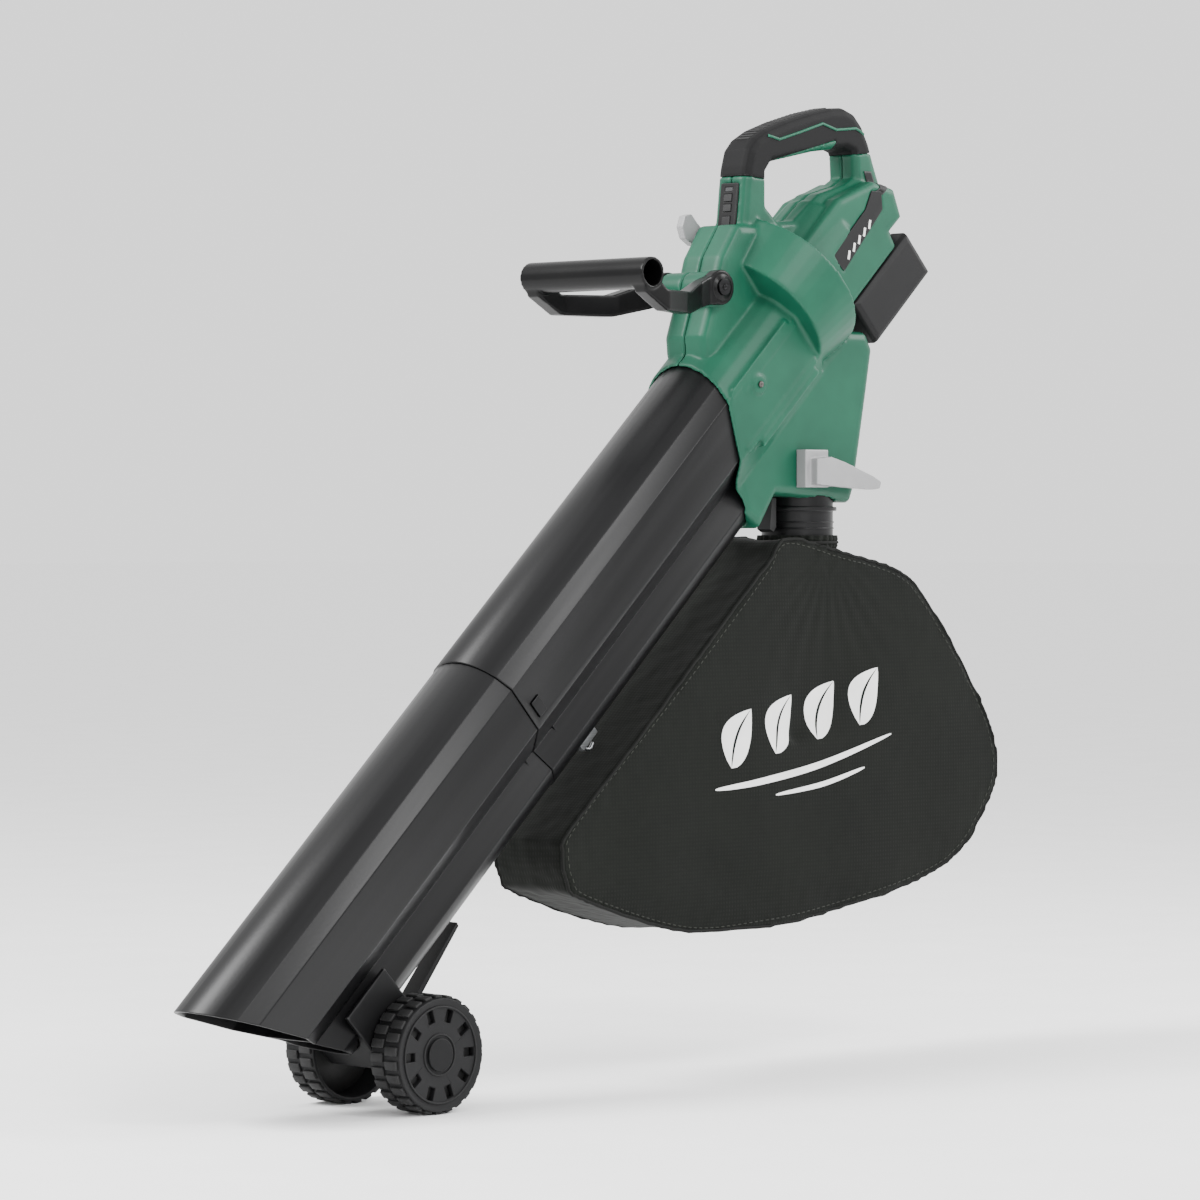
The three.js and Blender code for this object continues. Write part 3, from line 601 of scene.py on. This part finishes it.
ribs = set_out("grip_ribs", rib, rib_path, GRIP_TPE, spacing_mm=5.6)
belongs_to(ribs, GRIP_TPE, "main_grip")
for side_name, side in SIDES:
    line = []
    for point in straight([at_place(x, side * 60, z) for x, z in GRIP_LINE], 8):
        hit = grip_skin.ray_cast(point, Vector((0, -side, 0)))[0]
        if hit:
            line.append(hit)
    bead = swept("grip_bead_" + side_name, line, 1.4)
    belongs_to(bead, GREEN_ABS, "housing_" + side_name)

# ---- Trim stripes ----
# Charcoal ABS strips snapped into the shells behind the fan drum, with five slanted dashes
# printed on each in place of any marking.

CHARCOAL_ABS = moulded("grained_charcoal_abs", "#0D0D0E", "#141415", 0.5, 1.4, 0.25, gloss=0.2,
                       wear=0.06)
MARK_WHITE = moulded("pale_pad_print", "#D9D9D6", "#E6E6E3", 0.5, 1.0, 0.05, wear=0.0)
TAIL_ROWS = [
    ((622, 859), (636, 859)), ((633, 866), (645, 866)), ((634, 874), (645, 874)), ((630, 885), (640, 885)),
]
DASHES = 5


def laid_on(name, skin, side, shapes, lift_mm, bare_column=None):
    """Thin faces laid on a surface from one side, by rows of (x, z) millimetres.

    Rows of six points, as a leaf has, can leave one column bare for the midrib.
    """
    work = bmesh.new()
    away = Vector((0, side, 0))
    for rows in shapes:
        made = []
        for row in rows:
            hits = [skin.ray_cast(at_place(x, side * 120, z), -away) for x, z in row]
            if all(hit[0] for hit in hits):
                made.append([work.verts.new(hit[0] + hit[1] * lift_mm * MM) for hit in hits])
        for low, high in zip(made, made[1:]):
            for i in range(len(low) - 1):
                if i != bare_column or len(low) < 6:
                    work.faces.new((low[i], low[i + 1], high[i + 1], high[i]))
    bmesh.ops.recalc_face_normals(work, faces=work.faces)
    for face in work.faces:
        face.smooth = True
        if face.normal.dot(away) < 0:
            face.normal_flip()
    mesh = bpy.data.meshes.new(name)
    work.to_mesh(mesh)
    work.free()
    return new_object(name, mesh)


def filled_rows(corners, across, between):
    """Evenly filled rows of points between pairs of (x, z) corners."""
    rows = []
    for (l0, r0), (l1, r1) in zip(corners, corners[1:]):
        for step in range(between):
            s = step / between
            left = (l0[0] + (l1[0] - l0[0]) * s, l0[1] + (l1[1] - l0[1]) * s)
            right = (r0[0] + (r1[0] - r0[0]) * s, r0[1] + (r1[1] - r0[1]) * s)
            row = []
            for k in range(across + 1):
                share = k / across
                row.append((left[0] + (right[0] - left[0]) * share, left[1] + (right[1] - left[1]) * share))
            rows.append(row)
    return rows


for side_name, side in SIDES:
    skin = skin_of("shell_" + side_name)
    tail = laid_on("stripe_tail_" + side_name, skin, side, [filled_rows(TAIL_ROWS, 6, 6)], 0.5)
    body = tail.modifiers.new("body", "SOLIDIFY")
    body.thickness = 1.0 * MM
    body.offset = 0
    belongs_to(applied(tail), CHARCOAL_ABS, "trim_stripe_" + side_name)
    strip = edge_rounded("stripe_" + side_name, merged_copy("trim_stripe_" + side_name), 0.9)
    stands_for(strip, CHARCOAL_ABS, "trim_stripe_" + side_name)
    dashes = []
    for i in range(DASHES):
        place = at_place(586 + 7.6 * i, side * 40.8, 797 + 7.9 * i)
        dashes.append((place, RIGHT * side, Vector((0.2, 0, 1))))
    dash = block_item("dash", (9, 3, 0.5), 0.2)
    print_marks = set_out("stripe_dashes_" + side_name, dash, dashes, MARK_WHITE)
    belongs_to(print_marks, MARK_WHITE, "trim_stripe_" + side_name)

# ---- Control panel ----
# A charcoal ABS panel on the front of the handle, with three grey ABS buttons, a pale printed
# mark and a smoked polycarbonate window over the battery lights.


def smoked_window():
    """Smoked clear polycarbonate: dark, glossy and faintly cloudy."""
    material, tree, shader = new_material("smoked_polycarbonate", **{
        "IOR": 1.58, "Transmission Weight": 0.35, "Coat Weight": 0.5, "Coat Roughness": 0.05})
    place = add(tree, "ShaderNodeTexCoord")
    haze = add(tree, "ShaderNodeTexNoise", {"Scale": 400.0, "Detail": 3.0},
               {"Vector": place.outputs["Object"]})
    tree.links.new(two_tone(tree, haze.outputs["Fac"], "#2A2C2E", "#3B3E41"), shader.inputs["Base Color"])
    sheen = add(tree, "ShaderNodeMapRange", {"To Min": 0.05, "To Max": 0.16}, {"Value": haze.outputs["Fac"]})
    tree.links.new(sheen.outputs["Result"], shader.inputs["Roughness"])
    return material


BUTTON_ABS = moulded("soft_grey_button_abs", "#161617", "#1E1E1F", 0.5, 1.0, 0.15, gloss=0.25, wear=0.06)
SMOKED = smoked_window()
stands_for(edge_rounded("panel", merged_copy("control_panel"), 0.7), CHARCOAL_ABS, "control_panel")
stands_for(edge_rounded("window", merged_copy("indicator_window"), 0.4), SMOKED, "indicator_window")
for button in ("power_button", "boost_button", "eco_button"):
    stands_for(edge_rounded(button + "_cap", merged_copy(button), 0.7, 3), BUTTON_ABS, button)
low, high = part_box("boost_button")
mark_seat = Vector((low.x + 0.0007, -0.001, (low.z + high.z) / 2))
mark_dot = turned("dot", [(0, 0.25), (1.2, 0.2), (1.3, -0.6), (0, -0.8)], 16)
mark = set_out("boost_mark", mark_dot, [(mark_seat, Vector((-1, 0, 0.12)), RIGHT)], MARK_WHITE)
belongs_to(mark, MARK_WHITE, "boost_button")

# ---- Levers ----
# Light grey ABS: a small speed lever on the right of the housing, and the long lever on the
# left that turns the flap from blowing to vacuuming.

GREY_ABS = moulded("light_grey_abs", "#858586", "#979798", 0.38, 1.2, 0.1, gloss=0.35)
stands_for(filleted("speed_lever_arm", merged_copy("speed_lever"), 0.7, 3), GREY_ABS, "speed_lever")
stands_for(filleted("mode_lever_arm", merged_copy("mode_lever"), 0.8, 3), GREY_ABS, "mode_lever")
BLACK_NYLON = moulded("black_glass_filled_nylon", "#0A0A0B", "#101011", 0.5, 1.2, 0.15, gloss=0.16,
                      wear=0.05)
for node in ("mode_shaft", "diverter_flap"):
    stands_for(edge_rounded(node + "_moulding", merged_copy(node), 0.4), BLACK_NYLON, node)

# ---- Motor, fan and boards ----
# Inside the shells: a steel motor can on ball bearings, a moulded nylon fan, and two
# fibreglass circuit boards with a green solder mask.


def solder_mask():
    """Green solder mask over copper: darker lacquer with paler right-angled tracks about 1.5 mm apart."""
    material, tree, shader = new_material("green_solder_mask", **{
        "Roughness": 0.35, "Coat Weight": 0.4, "Coat Roughness": 0.15})
    place = add(tree, "ShaderNodeTexCoord")
    tracks = add(tree, "ShaderNodeTexBrick", {
        "Scale": 300.0, "Mortar Size": 0.06, "Color1": linear("#0E4A2A"), "Color2": linear("#125532"),
        "Mortar": linear("#2E8A55")}, {"Vector": place.outputs["Object"]})
    tree.links.new(tracks.outputs["Color"], shader.inputs["Base Color"])
    bump = add(tree, "ShaderNodeBump", {"Strength": 0.3, "Distance": 0.0001},
               {"Height": tracks.outputs["Fac"]})
    tree.links.new(bump.outputs["Normal"], shader.inputs["Normal"])
    return material


BOARD_MASK = solder_mask()
INNER_MATERIALS = {
    "motor_can": ZINC, "motor_shaft": ZINC, "fan_bearing": ZINC, "end_bearing": ZINC,
    "impeller": BLACK_NYLON, "control_board": BOARD_MASK, "power_board": BOARD_MASK,
}
for node, material in INNER_MATERIALS.items():
    stands_for(edge_rounded(node + "_part", merged_copy(node), 0.4), material, node)

# ---- Front handle ----
# A stirrup moulded in glossy black polypropylene around a hollow cross bar. It turns on two
# large pivot bolts and holds its place by friction.

HANDLE_PP = moulded("glossy_black_polypropylene", "#050506", "#090909", 0.3, 2.4, 0.03, gloss=0.14, wear=0.02)
stands_for(filleted("stirrup", merged_copy("front_handle"), 1.3, 3), HANDLE_PP, "front_handle")
KNOB = [
    (0, 1.0), (3.2, 1.0), (3.6, 3.4), (6.2, 3.4), (7.2, 2.6), (7.6, 0.6), (12.6, 0.6), (13.4, -0.4),
    (13.6, -3.0), (0, -3.2),
]
PIVOT_AT = (404, 759)
for side_name, side in SIDES:
    bolt = edge_rounded("pivot_shank_" + side_name, merged_copy("pivot_bolt_" + side_name), 0.5)
    stands_for(bolt, BLACKENED, "pivot_bolt_" + side_name)
    seat = [(at_place(PIVOT_AT[0], side * 41.2, PIVOT_AT[1]), RIGHT * side, BACK)]
    knob = set_out("pivot_washer_" + side_name, turned("washer", KNOB, 40), seat, HANDLE_PP)
    belongs_to(knob, HANDLE_PP, "pivot_bolt_" + side_name)
    centre = [(at_place(PIVOT_AT[0], side * 44.8, PIVOT_AT[1]), RIGHT * side, BACK)]
    pivot_screw = set_out("pivot_screw_" + side_name, turned("pivot_screw", SCREW_HEAD), centre, BLACKENED)
    belongs_to(pivot_screw, BLACKENED, "pivot_bolt_" + side_name)

# ---- Battery ----
# A slide-in lithium pack in charcoal ABS with well rounded corners, held by a spring button
# at its top and a moulded nylon rail.

stands_for(filleted("battery_case", merged_copy("battery_pack"), 0.9, 2), CHARCOAL_ABS, "battery_pack")
release = edge_rounded("release_button", merged_copy("battery_release"), 1.0, 3)
stands_for(release, BUTTON_ABS, "battery_release")
stands_for(edge_rounded("rail", merged_copy("battery_rail"), 0.4), BLACK_NYLON, "battery_rail")

# ---- Bag spigot ----
# A black polypropylene pipe that plugs up into the housing, with two beads round it and a
# snap-in catch at the front.


def ring(centre, radius_mm, count, axis, start):
    """Points of a circle as (point, outward, forward), about an axis that start is square to."""
    side_way = axis.cross(start)
    made = []
    for i in range(count):
        angle = i * math.tau / count
        outward = start * math.cos(angle) + side_way * math.sin(angle)
        made.append((centre + outward * radius_mm * MM, outward, axis.cross(outward)))
    return made


UP = Vector((0, 0, 1))
SPIGOT_X = 555
SPIGOT_RADIUS = 35.6
stands_for(edge_rounded("spigot_pipe", merged_copy("bag_spigot"), 0.7), BLACK_PP, "bag_spigot")
stands_for(edge_rounded("spigot_catch_tab", merged_copy("spigot_catch"), 0.8), CHARCOAL_ABS, "spigot_catch")
for height in (527, 533):
    circle = ring(at_place(SPIGOT_X, 0, height), SPIGOT_RADIUS, 64, UP, BACK)
    hoop = swept("spigot_bead_%d" % height, [p[0] for p in circle], 0.9, True)
    belongs_to(hoop, BLACK_PP, "bag_spigot")

# ---- Collecting bag ----
# Woven polyester, coated inside, cut as two side panels and one long gusset. Bound seams join
# them, the mouth is gathered round the spigot, and the cloth sags towards the bottom.


def woven_polyester():
    """Coated 600 denier cloth: plain weave, drawn at 2 mm to show, dull sheen, dusty folds."""
    material, tree, shader = new_material("coated_woven_polyester", **{
        "IOR": 1.45, "Specular IOR Level": 0.1, "Sheen Weight": 0.04, "Sheen Roughness": 0.5})
    across_cloth = {"Vector": add(tree, "ShaderNodeUVMap", uv_map="cloth").outputs["UV"]}
    warp, weft = [
        add(tree, "ShaderNodeTexWave", {"Scale": 80.0, "Distortion": 0.4, "Detail": 1.0}, across_cloth,
            wave_type="BANDS", bands_direction=way, wave_profile="SIN")
        for way in ("X", "Y")
    ]
    weave = add(tree, "ShaderNodeMath", links={0: warp.outputs["Fac"], 1: weft.outputs["Fac"]},
                operation="MULTIPLY")
    place = {"Vector": add(tree, "ShaderNodeTexCoord").outputs["Object"]}
    dust = add(tree, "ShaderNodeTexNoise", {"Scale": 9.0, "Detail": 5.0, "Roughness": 0.65}, place)
    cloth = two_tone(tree, dust.outputs["Fac"], "#0B0D0B", "#131512")
    threads = add(tree, "ShaderNodeMix", {"B": linear("#1A1C18")}, {"A": cloth}, data_type="RGBA")
    some = add(tree, "ShaderNodeMath", {1: 0.45}, {0: weave.outputs["Value"]}, operation="MULTIPLY")
    tree.links.new(some.outputs["Value"], threads.inputs["Factor"])
    tree.links.new(threads.outputs["Result"], shader.inputs["Base Color"])
    sheen = add(tree, "ShaderNodeMapRange", {"To Min": 0.72, "To Max": 0.9}, {"Value": dust.outputs["Fac"]})
    tree.links.new(sheen.outputs["Result"], shader.inputs["Roughness"])
    bump = add(tree, "ShaderNodeBump", {"Strength": 0.35, "Distance": 0.0004},
               {"Height": weave.outputs["Value"]})
    tree.links.new(bump.outputs["Normal"], shader.inputs["Normal"])
    return material


BAG_OUTLINE = [
    (500, 519), (580, 504), (662, 485), (706, 452), (776, 362), (804, 305), (800, 262), (752, 203),
    (690, 176), (551, 149), (440, 139), (340, 142), (210, 180), (188, 199), (183, 226), (193, 247),
    (298, 342), (400, 432), (470, 493),
]
BAG_CENTRE = (500, 315)
BAG_TOP_HALF = 39
BAG_LOW_HALF = 46
BAG_NARROWS_FROM = 330
BAG_NARROWS_OVER = 190
PANEL_RINGS = 24
GUSSET_ROWS = 14
outline = smoothed([at_place(x, 0, z) for x, z in BAG_OUTLINE], 16, closed=True)
bag_middle = at_place(BAG_CENTRE[0], 0, BAG_CENTRE[1])


def half_width(point):
    """How far a seam lies from the middle plane: less towards the mouth, in metres."""
    rise = (point.z / MM - BAG_NARROWS_FROM) / BAG_NARROWS_OVER
    blend = min(max(rise, 0.0), 1.0)
    return (BAG_LOW_HALF + (BAG_TOP_HALF - BAG_LOW_HALF) * blend * blend * (3 - 2 * blend)) * MM


def bag_form():
    """The closed shell before it sags: its rows run from the left panel over the gusset to the right."""
    work = bmesh.new()
    count = len(outline)
    reaches = [1 - 0.97 * (k / PANEL_RINGS) for k in range(PANEL_RINGS, 0, -1)]
    rows = [(reach, -1) for reach in reaches]
    rows += [(1.0, -1 + 2 * i / GUSSET_ROWS) for i in range(GUSSET_ROWS + 1)]
    rows += [(reach, 1) for reach in reversed(reaches)]
    grid = []
    for reach, across in rows:
        line = []
        for edge in outline:
            point = bag_middle.lerp(edge, reach)
            low = max(0.0, (BAG_NARROWS_FROM - point.z / MM) / BAG_NARROWS_OVER)
            crown = (1 - reach ** 3) * (3.2 + 2.2 * low) * MM if abs(across) == 1 else 0.0
            waist = (1 - across * across) * 2.4 * MM if reach == 1.0 else 0.0
            point = point - (edge - bag_middle).normalized() * waist
            point.y = across * (half_width(edge) + crown)
            line.append(work.verts.new(point))
        grid.append(line)
    for low, high in zip(grid, grid[1:]):
        for i in range(count):
            j = (i + 1) % count
            work.faces.new((low[i], high[i], high[j], low[j]))
    work.faces.new(grid[0])
    work.faces.new(grid[-1])
    bmesh.ops.recalc_face_normals(work, faces=work.faces)
    mesh = bpy.data.meshes.new("bag_form")
    work.to_mesh(mesh)
    work.free()
    return mesh


def sagged(mesh):
    """Moves the cloth: gathers below the mouth, slack folds low down, puckers at the seams, unevenness."""
    mouth = at_place(SPIGOT_X, 0, 505)
    work = bmesh.new()
    work.from_mesh(mesh)
    work.normal_update()
    for vert in work.verts:
        p = vert.co.copy()
        slope = noise.noise(Vector((p.x * 9 + p.z * 4, p.y * 14, p.z * 7 - p.x * 5)))
        side_on = abs(vert.normal.y)
        angle = math.atan2(p.x - mouth.x, mouth.z - p.z)
        gather = math.sin(26 * angle + 3 * noise.noise(p * 12)) * math.exp(-(p - mouth).length / (60 * MM))
        low = min(max((270 - p.z / MM) / 110, 0.0), 1.0)
        fold = math.sin((p.z * 0.8 + p.x * 0.25) * 95 + 4 * noise.noise(p * 6)) * low * side_on
        flat = Vector((p.x, 0, p.z))
        reach = (flat - bag_middle).length
        seam = min((flat - edge).length for edge in outline[::4]) if reach > 0.1 else 1.0
        pucker = noise.noise(p * 85) * (0.25 + math.exp(-seam / (14 * MM)))
        vert.co = p + vert.normal * (2.0 * slope + 0.8 * pucker + 1.2 * gather + 0.9 * fold) * MM
    uv = work.loops.layers.uv.new("cloth")
    for face in work.faces:
        face.smooth = True
        on_panel = abs(face.normal.y) > 0.6
        for loop in face.loops:
            x, y, z = loop.vert.co
            loop[uv].uv = (x, z) if on_panel else ((x + z) * 0.8, y)
    work.to_mesh(mesh)
    work.free()


BAG_CLOTH = woven_polyester()
bag = filleted("bag_cloth", bag_form(), 3.8, 1)
sagged(bag.data)
stands_for(bag, BAG_CLOTH, "bag")
bag_skin = skin_of("bag_cloth")

# ---- Bag bindings, zip and mouth ----
# Grosgrain binding over both seams, lock stitches beside it, a coil zip down the back of the
# gusset, and a gathered cuff with a drawcord and a brass clasp at the mouth.

BINDING = moulded("polyester_grosgrain_binding", "#0A0B0A", "#121311", 0.8, 0.8, 0.5, gloss=0.2,
                  wear=0.0)
THREAD = moulded("bonded_polyester_thread", "#1E201D", "#272923", 0.7, 0.6, 0.3, gloss=0.3, wear=0.0)
BRASS = zinc_plate("tarnished_brass", "#8A6A3C", "#A9854E", 0.38)
stitch = block_item("stitch", (4.2, 1.0, 0.9), 0.35)
for side_name, side in SIDES:
    seam = [bag_skin.find_nearest(Vector((p.x, side * half_width(p), p.z)))[0] for p in outline]
    binding = swept("seam_binding_" + side_name, seam, 1.7, closed=True)
    belongs_to(binding, BINDING, "bag")
    stitches = []
    for i, edge in enumerate(outline):
        inward = bag_middle - edge
        spot = edge + inward.normalized() * 7 * MM
        hit, normal = bag_skin.ray_cast(Vector((spot.x, side * 0.08, spot.z)), Vector((0, -side, 0)))[:2]
        if hit:
            onward = (outline[(i + 1) % len(outline)] - edge).normalized()
            stitches.append((hit + normal * 0.1 * MM, normal, onward))
    sewn = set_out("seam_stitches_" + side_name, stitch, stitches, THREAD, spacing_mm=7.5, closed=True)
    belongs_to(sewn, THREAD, "bag")
zip_end = at_place(640, 0, 470)
zip_line = [p for p in outline if p.x > zip_end.x and p.z < zip_end.z]
zip_path = []
for before, after in zip(zip_line, zip_line[1:]):
    forward = (after - before).normalized()
    outward = Vector((before - bag_middle)).normalized()
    hit = bag_skin.ray_cast(before + outward * 0.03, -outward)[0]
    if hit:
        zip_path.append((hit, outward, forward))
# The round bead is pressed flat and made twice as wide, which leaves a tape.
tape = swept("zip_tape", [p[0] for p in zip_path], 3.4)
for vert in tape.data.vertices:
    nearest = min(zip_path, key=lambda p: (p[0] - vert.co).length_squared)
    height = (vert.co - nearest[0]).dot(nearest[1])
    vert.co -= nearest[1] * height * 0.85
    vert.co.y *= 2.0
belongs_to(tape, BINDING, "bag")
teeth = set_out("zip_teeth", block_item("tooth", (1.4, 5.0, 1.4), 0.4), zip_path, THREAD, spacing_mm=2.4)
belongs_to(teeth, THREAD, "bag")
pull = set_out("zip_pull", block_item("pull", (16, 6, 2.4), 1.0), [zip_path[6]], BLACKENED)
belongs_to(pull, BLACKENED, "bag")


def gathered_cuff():
    """The mouth of the bag: a short pleated sleeve round the spigot, open at both ends, with a hem."""
    mesh = bpy.data.meshes.new("mouth_cuff")
    steps = 192
    levels = [(497, 36.7), (503, 37.4), (507, 38.2), (510, 39.6), (513, 38.5), (516, 39.7), (520, 39.1)]
    points = []
    for height, radius in levels:
        for i in range(steps):
            angle = i * math.tau / steps
            pleat = 0.7 * math.sin(30 * angle + 1.5 * math.sin(5 * angle))
            r = radius + pleat
            points.append(at_place(SPIGOT_X + r * math.cos(angle), r * math.sin(angle), height))
    faces = [
        (k * steps + i, k * steps + (i + 1) % steps, (k + 1) * steps + (i + 1) % steps, (k + 1) * steps + i)
        for k in range(len(levels) - 1) for i in range(steps)
    ]
    mesh.from_pydata(points, [], faces)
    cloth = mesh.uv_layers.new(name="cloth")
    for loop in mesh.loops:
        p = mesh.vertices[loop.vertex_index].co
        around = math.atan2(p.y, p.x - at_place(SPIGOT_X, 0, 0).x)
        cloth.data[loop.index].uv = (around * 0.04, p.z)
    for face in mesh.polygons:
        face.use_smooth = True
    cuff = new_object("mouth_cuff", mesh)
    wall = cuff.modifiers.new("wall", "SOLIDIFY")
    wall.thickness = 0.9 * MM
    wall.offset = -1
    return applied(cuff)


belongs_to(gathered_cuff(), BAG_CLOTH, "bag")
cord_circle = ring(at_place(SPIGOT_X, 0, 513), 39.6, 72, UP, BACK)
drawcord = swept("mouth_drawcord", [p[0] for p in cord_circle], 1.5, True)
belongs_to(drawcord, BINDING, "bag")
clasp_way = Vector((-0.72, -0.69, 0))
clasp_seat = at_place(SPIGOT_X, 0, 514) + clasp_way * 41.4 * MM
clasp_path = [(clasp_seat, clasp_way, UP.cross(clasp_way))]
clasp = set_out("drawcord_clasp", block_item("clasp", (10, 7, 4), 1.4), clasp_path, BRASS)
belongs_to(clasp, BRASS, "bag")

# ---- Bag graphic ----
# Four plain leaves and two wind lines, screen-printed in white ink that sits in the weave.


def leaf_rows(start, heading, length, breadth):
    """Rows of points across a leaf, from stalk to tip, in the (x, z) plane of the side panel."""
    along = (math.cos(heading), math.sin(heading))
    rows = []
    for i in range(17):
        s = i / 16
        wide = breadth * math.sin(math.pi * s ** 0.8) ** 0.9 / 2 + 0.05
        bend = 0.12 * length * math.sin(math.pi * s)
        x = start[0] + along[0] * length * s - along[1] * bend
        z = start[1] + along[1] * length * s + along[0] * bend
        rows.append([(x - along[1] * wide * k, z + along[0] * wide * k) for k in (-1, -0.5, -0.08)])
        rows[-1] += [(x - along[1] * wide * k, z + along[0] * wide * k) for k in (0.08, 0.5, 1)]
    return rows


def wind_rows(points, breadth):
    """Rows of points across a curved line that tapers at both ends."""
    line = smoothed([Vector((x, 0, z)) for x, z in points], 10)
    rows = []
    for i, p in enumerate(line):
        ahead = (line[min(i + 1, len(line) - 1)] - line[max(i - 1, 0)]).normalized()
        wide = breadth * math.sin(math.pi * (i + 0.3) / (len(line) - 0.4)) ** 0.5 / 2
        rows.append([(p.x - ahead.z * wide * k, p.z + ahead.x * wide * k) for k in (-1, 0, 1)])
    return rows


INK = moulded("white_screen_ink", "#D8D8D6", "#EFEFEE", 0.6, 1.8, 0.4, gloss=0.3, wear=0.0)
graphic = [leaf_rows((408 + 62 * i, 296 + 12 * i), math.radians(62), 64, 40) for i in range(4)]
graphic += [
    wind_rows([(386, 276), (450, 282), (540, 296), (640, 322)], 7),
    wind_rows([(470, 268), (540, 276), (600, 290)], 5),
]
belongs_to(laid_on("bag_print", bag_skin, -1, graphic, 0.35, bare_column=2), INK, "bag")

# ---- Bag hook ----
# A loop of round spring wire on the front of the bag, which hangs it from the tube's eye.

stands_for(edge_rounded("hook_wire", merged_copy("bag_hook"), 0.3), ZINC, "bag_hook")

# ---- Wheel bracket ----
# A glass-filled nylon cradle clipped under the nozzle, with a lift-up latch, a steel pin and
# a through axle.

stands_for(filleted("cradle", merged_copy("wheel_bracket"), 1.2, 2), BLACK_NYLON, "wheel_bracket")
stands_for(edge_rounded("latch", merged_copy("bracket_latch"), 0.8), BLACK_NYLON, "bracket_latch")
stands_for(edge_rounded("pin", merged_copy("latch_pin"), 0.3), ZINC, "latch_pin")
stands_for(edge_rounded("axle", merged_copy("wheel_axle"), 0.4), ZINC, "wheel_axle")

# ---- Wheels ----
# Hard polypropylene discs with ten windows and moulded tread lugs in two staggered rows, each
# kept on the axle by a press-in cap.

WHEEL_PP = moulded("scuffed_black_polypropylene", "#101011", "#19191A", 0.6, 2.4, 0.3, gloss=0.2,
                   rubbed="#5A5A59", wear=0.2)
WHEEL_RADIUS = 54
TREAD_RADIUS = 51.6
LUGS_IN_ROW = 26
WEB_PROFILE = [(11.4, 0.6), (46.6, 0.6), (46.6, -0.6), (11.4, -0.6), (11.4, 0.6)]
for side_name, side in SIDES:
    blank = merged_copy("wheel_" + side_name)
    for vert in blank.vertices:
        spoke = vert.co - AXLE
        spoke.y = 0.0
        if spoke.length > TREAD_RADIUS * MM:
            vert.co -= spoke * (1 - TREAD_RADIUS * MM / spoke.length)
    disc = edge_rounded("disc_" + side_name, blank, 1.0)
    stands_for(disc, WHEEL_PP, "wheel_" + side_name)
    for row, y in enumerate((48.5, 66.5)):
        stagger = row * math.pi / LUGS_IN_ROW
        start = Vector((math.cos(stagger), 0, math.sin(stagger)))
        path = ring(AXLE + RIGHT * side * y * MM, WHEEL_RADIUS - 1.5, LUGS_IN_ROW, RIGHT, start)
        lug = block_item("lug", (8.2, 15, 3.0), 0.8)
        lugs = set_out("tread_%d_%s" % (row, side_name), lug, path, WHEEL_PP)
        belongs_to(lugs, WHEEL_PP, "wheel_" + side_name)
    for radius, y in ((43.6, 76.0), (18.5, 74.6)):
        circle = ring(AXLE + RIGHT * side * y * MM, radius, 64, RIGHT, BACK)
        rim = swept("rim_%d_%s" % (radius, side_name), [p[0] for p in circle], 0.9, True)
        belongs_to(rim, WHEEL_PP, "wheel_" + side_name)
    web_seat = [(AXLE + RIGHT * side * 67.6 * MM, RIGHT * side, BACK)]
    web = set_out("web_" + side_name, turned("web", WEB_PROFILE, 72), web_seat, WHEEL_PP)
    belongs_to(web, WHEEL_PP, "wheel_" + side_name)
    cap = edge_rounded("cap_" + side_name, merged_copy("hub_cap_" + side_name), 1.0, 3)
    stands_for(cap, BLACK_NYLON, "hub_cap_" + side_name)
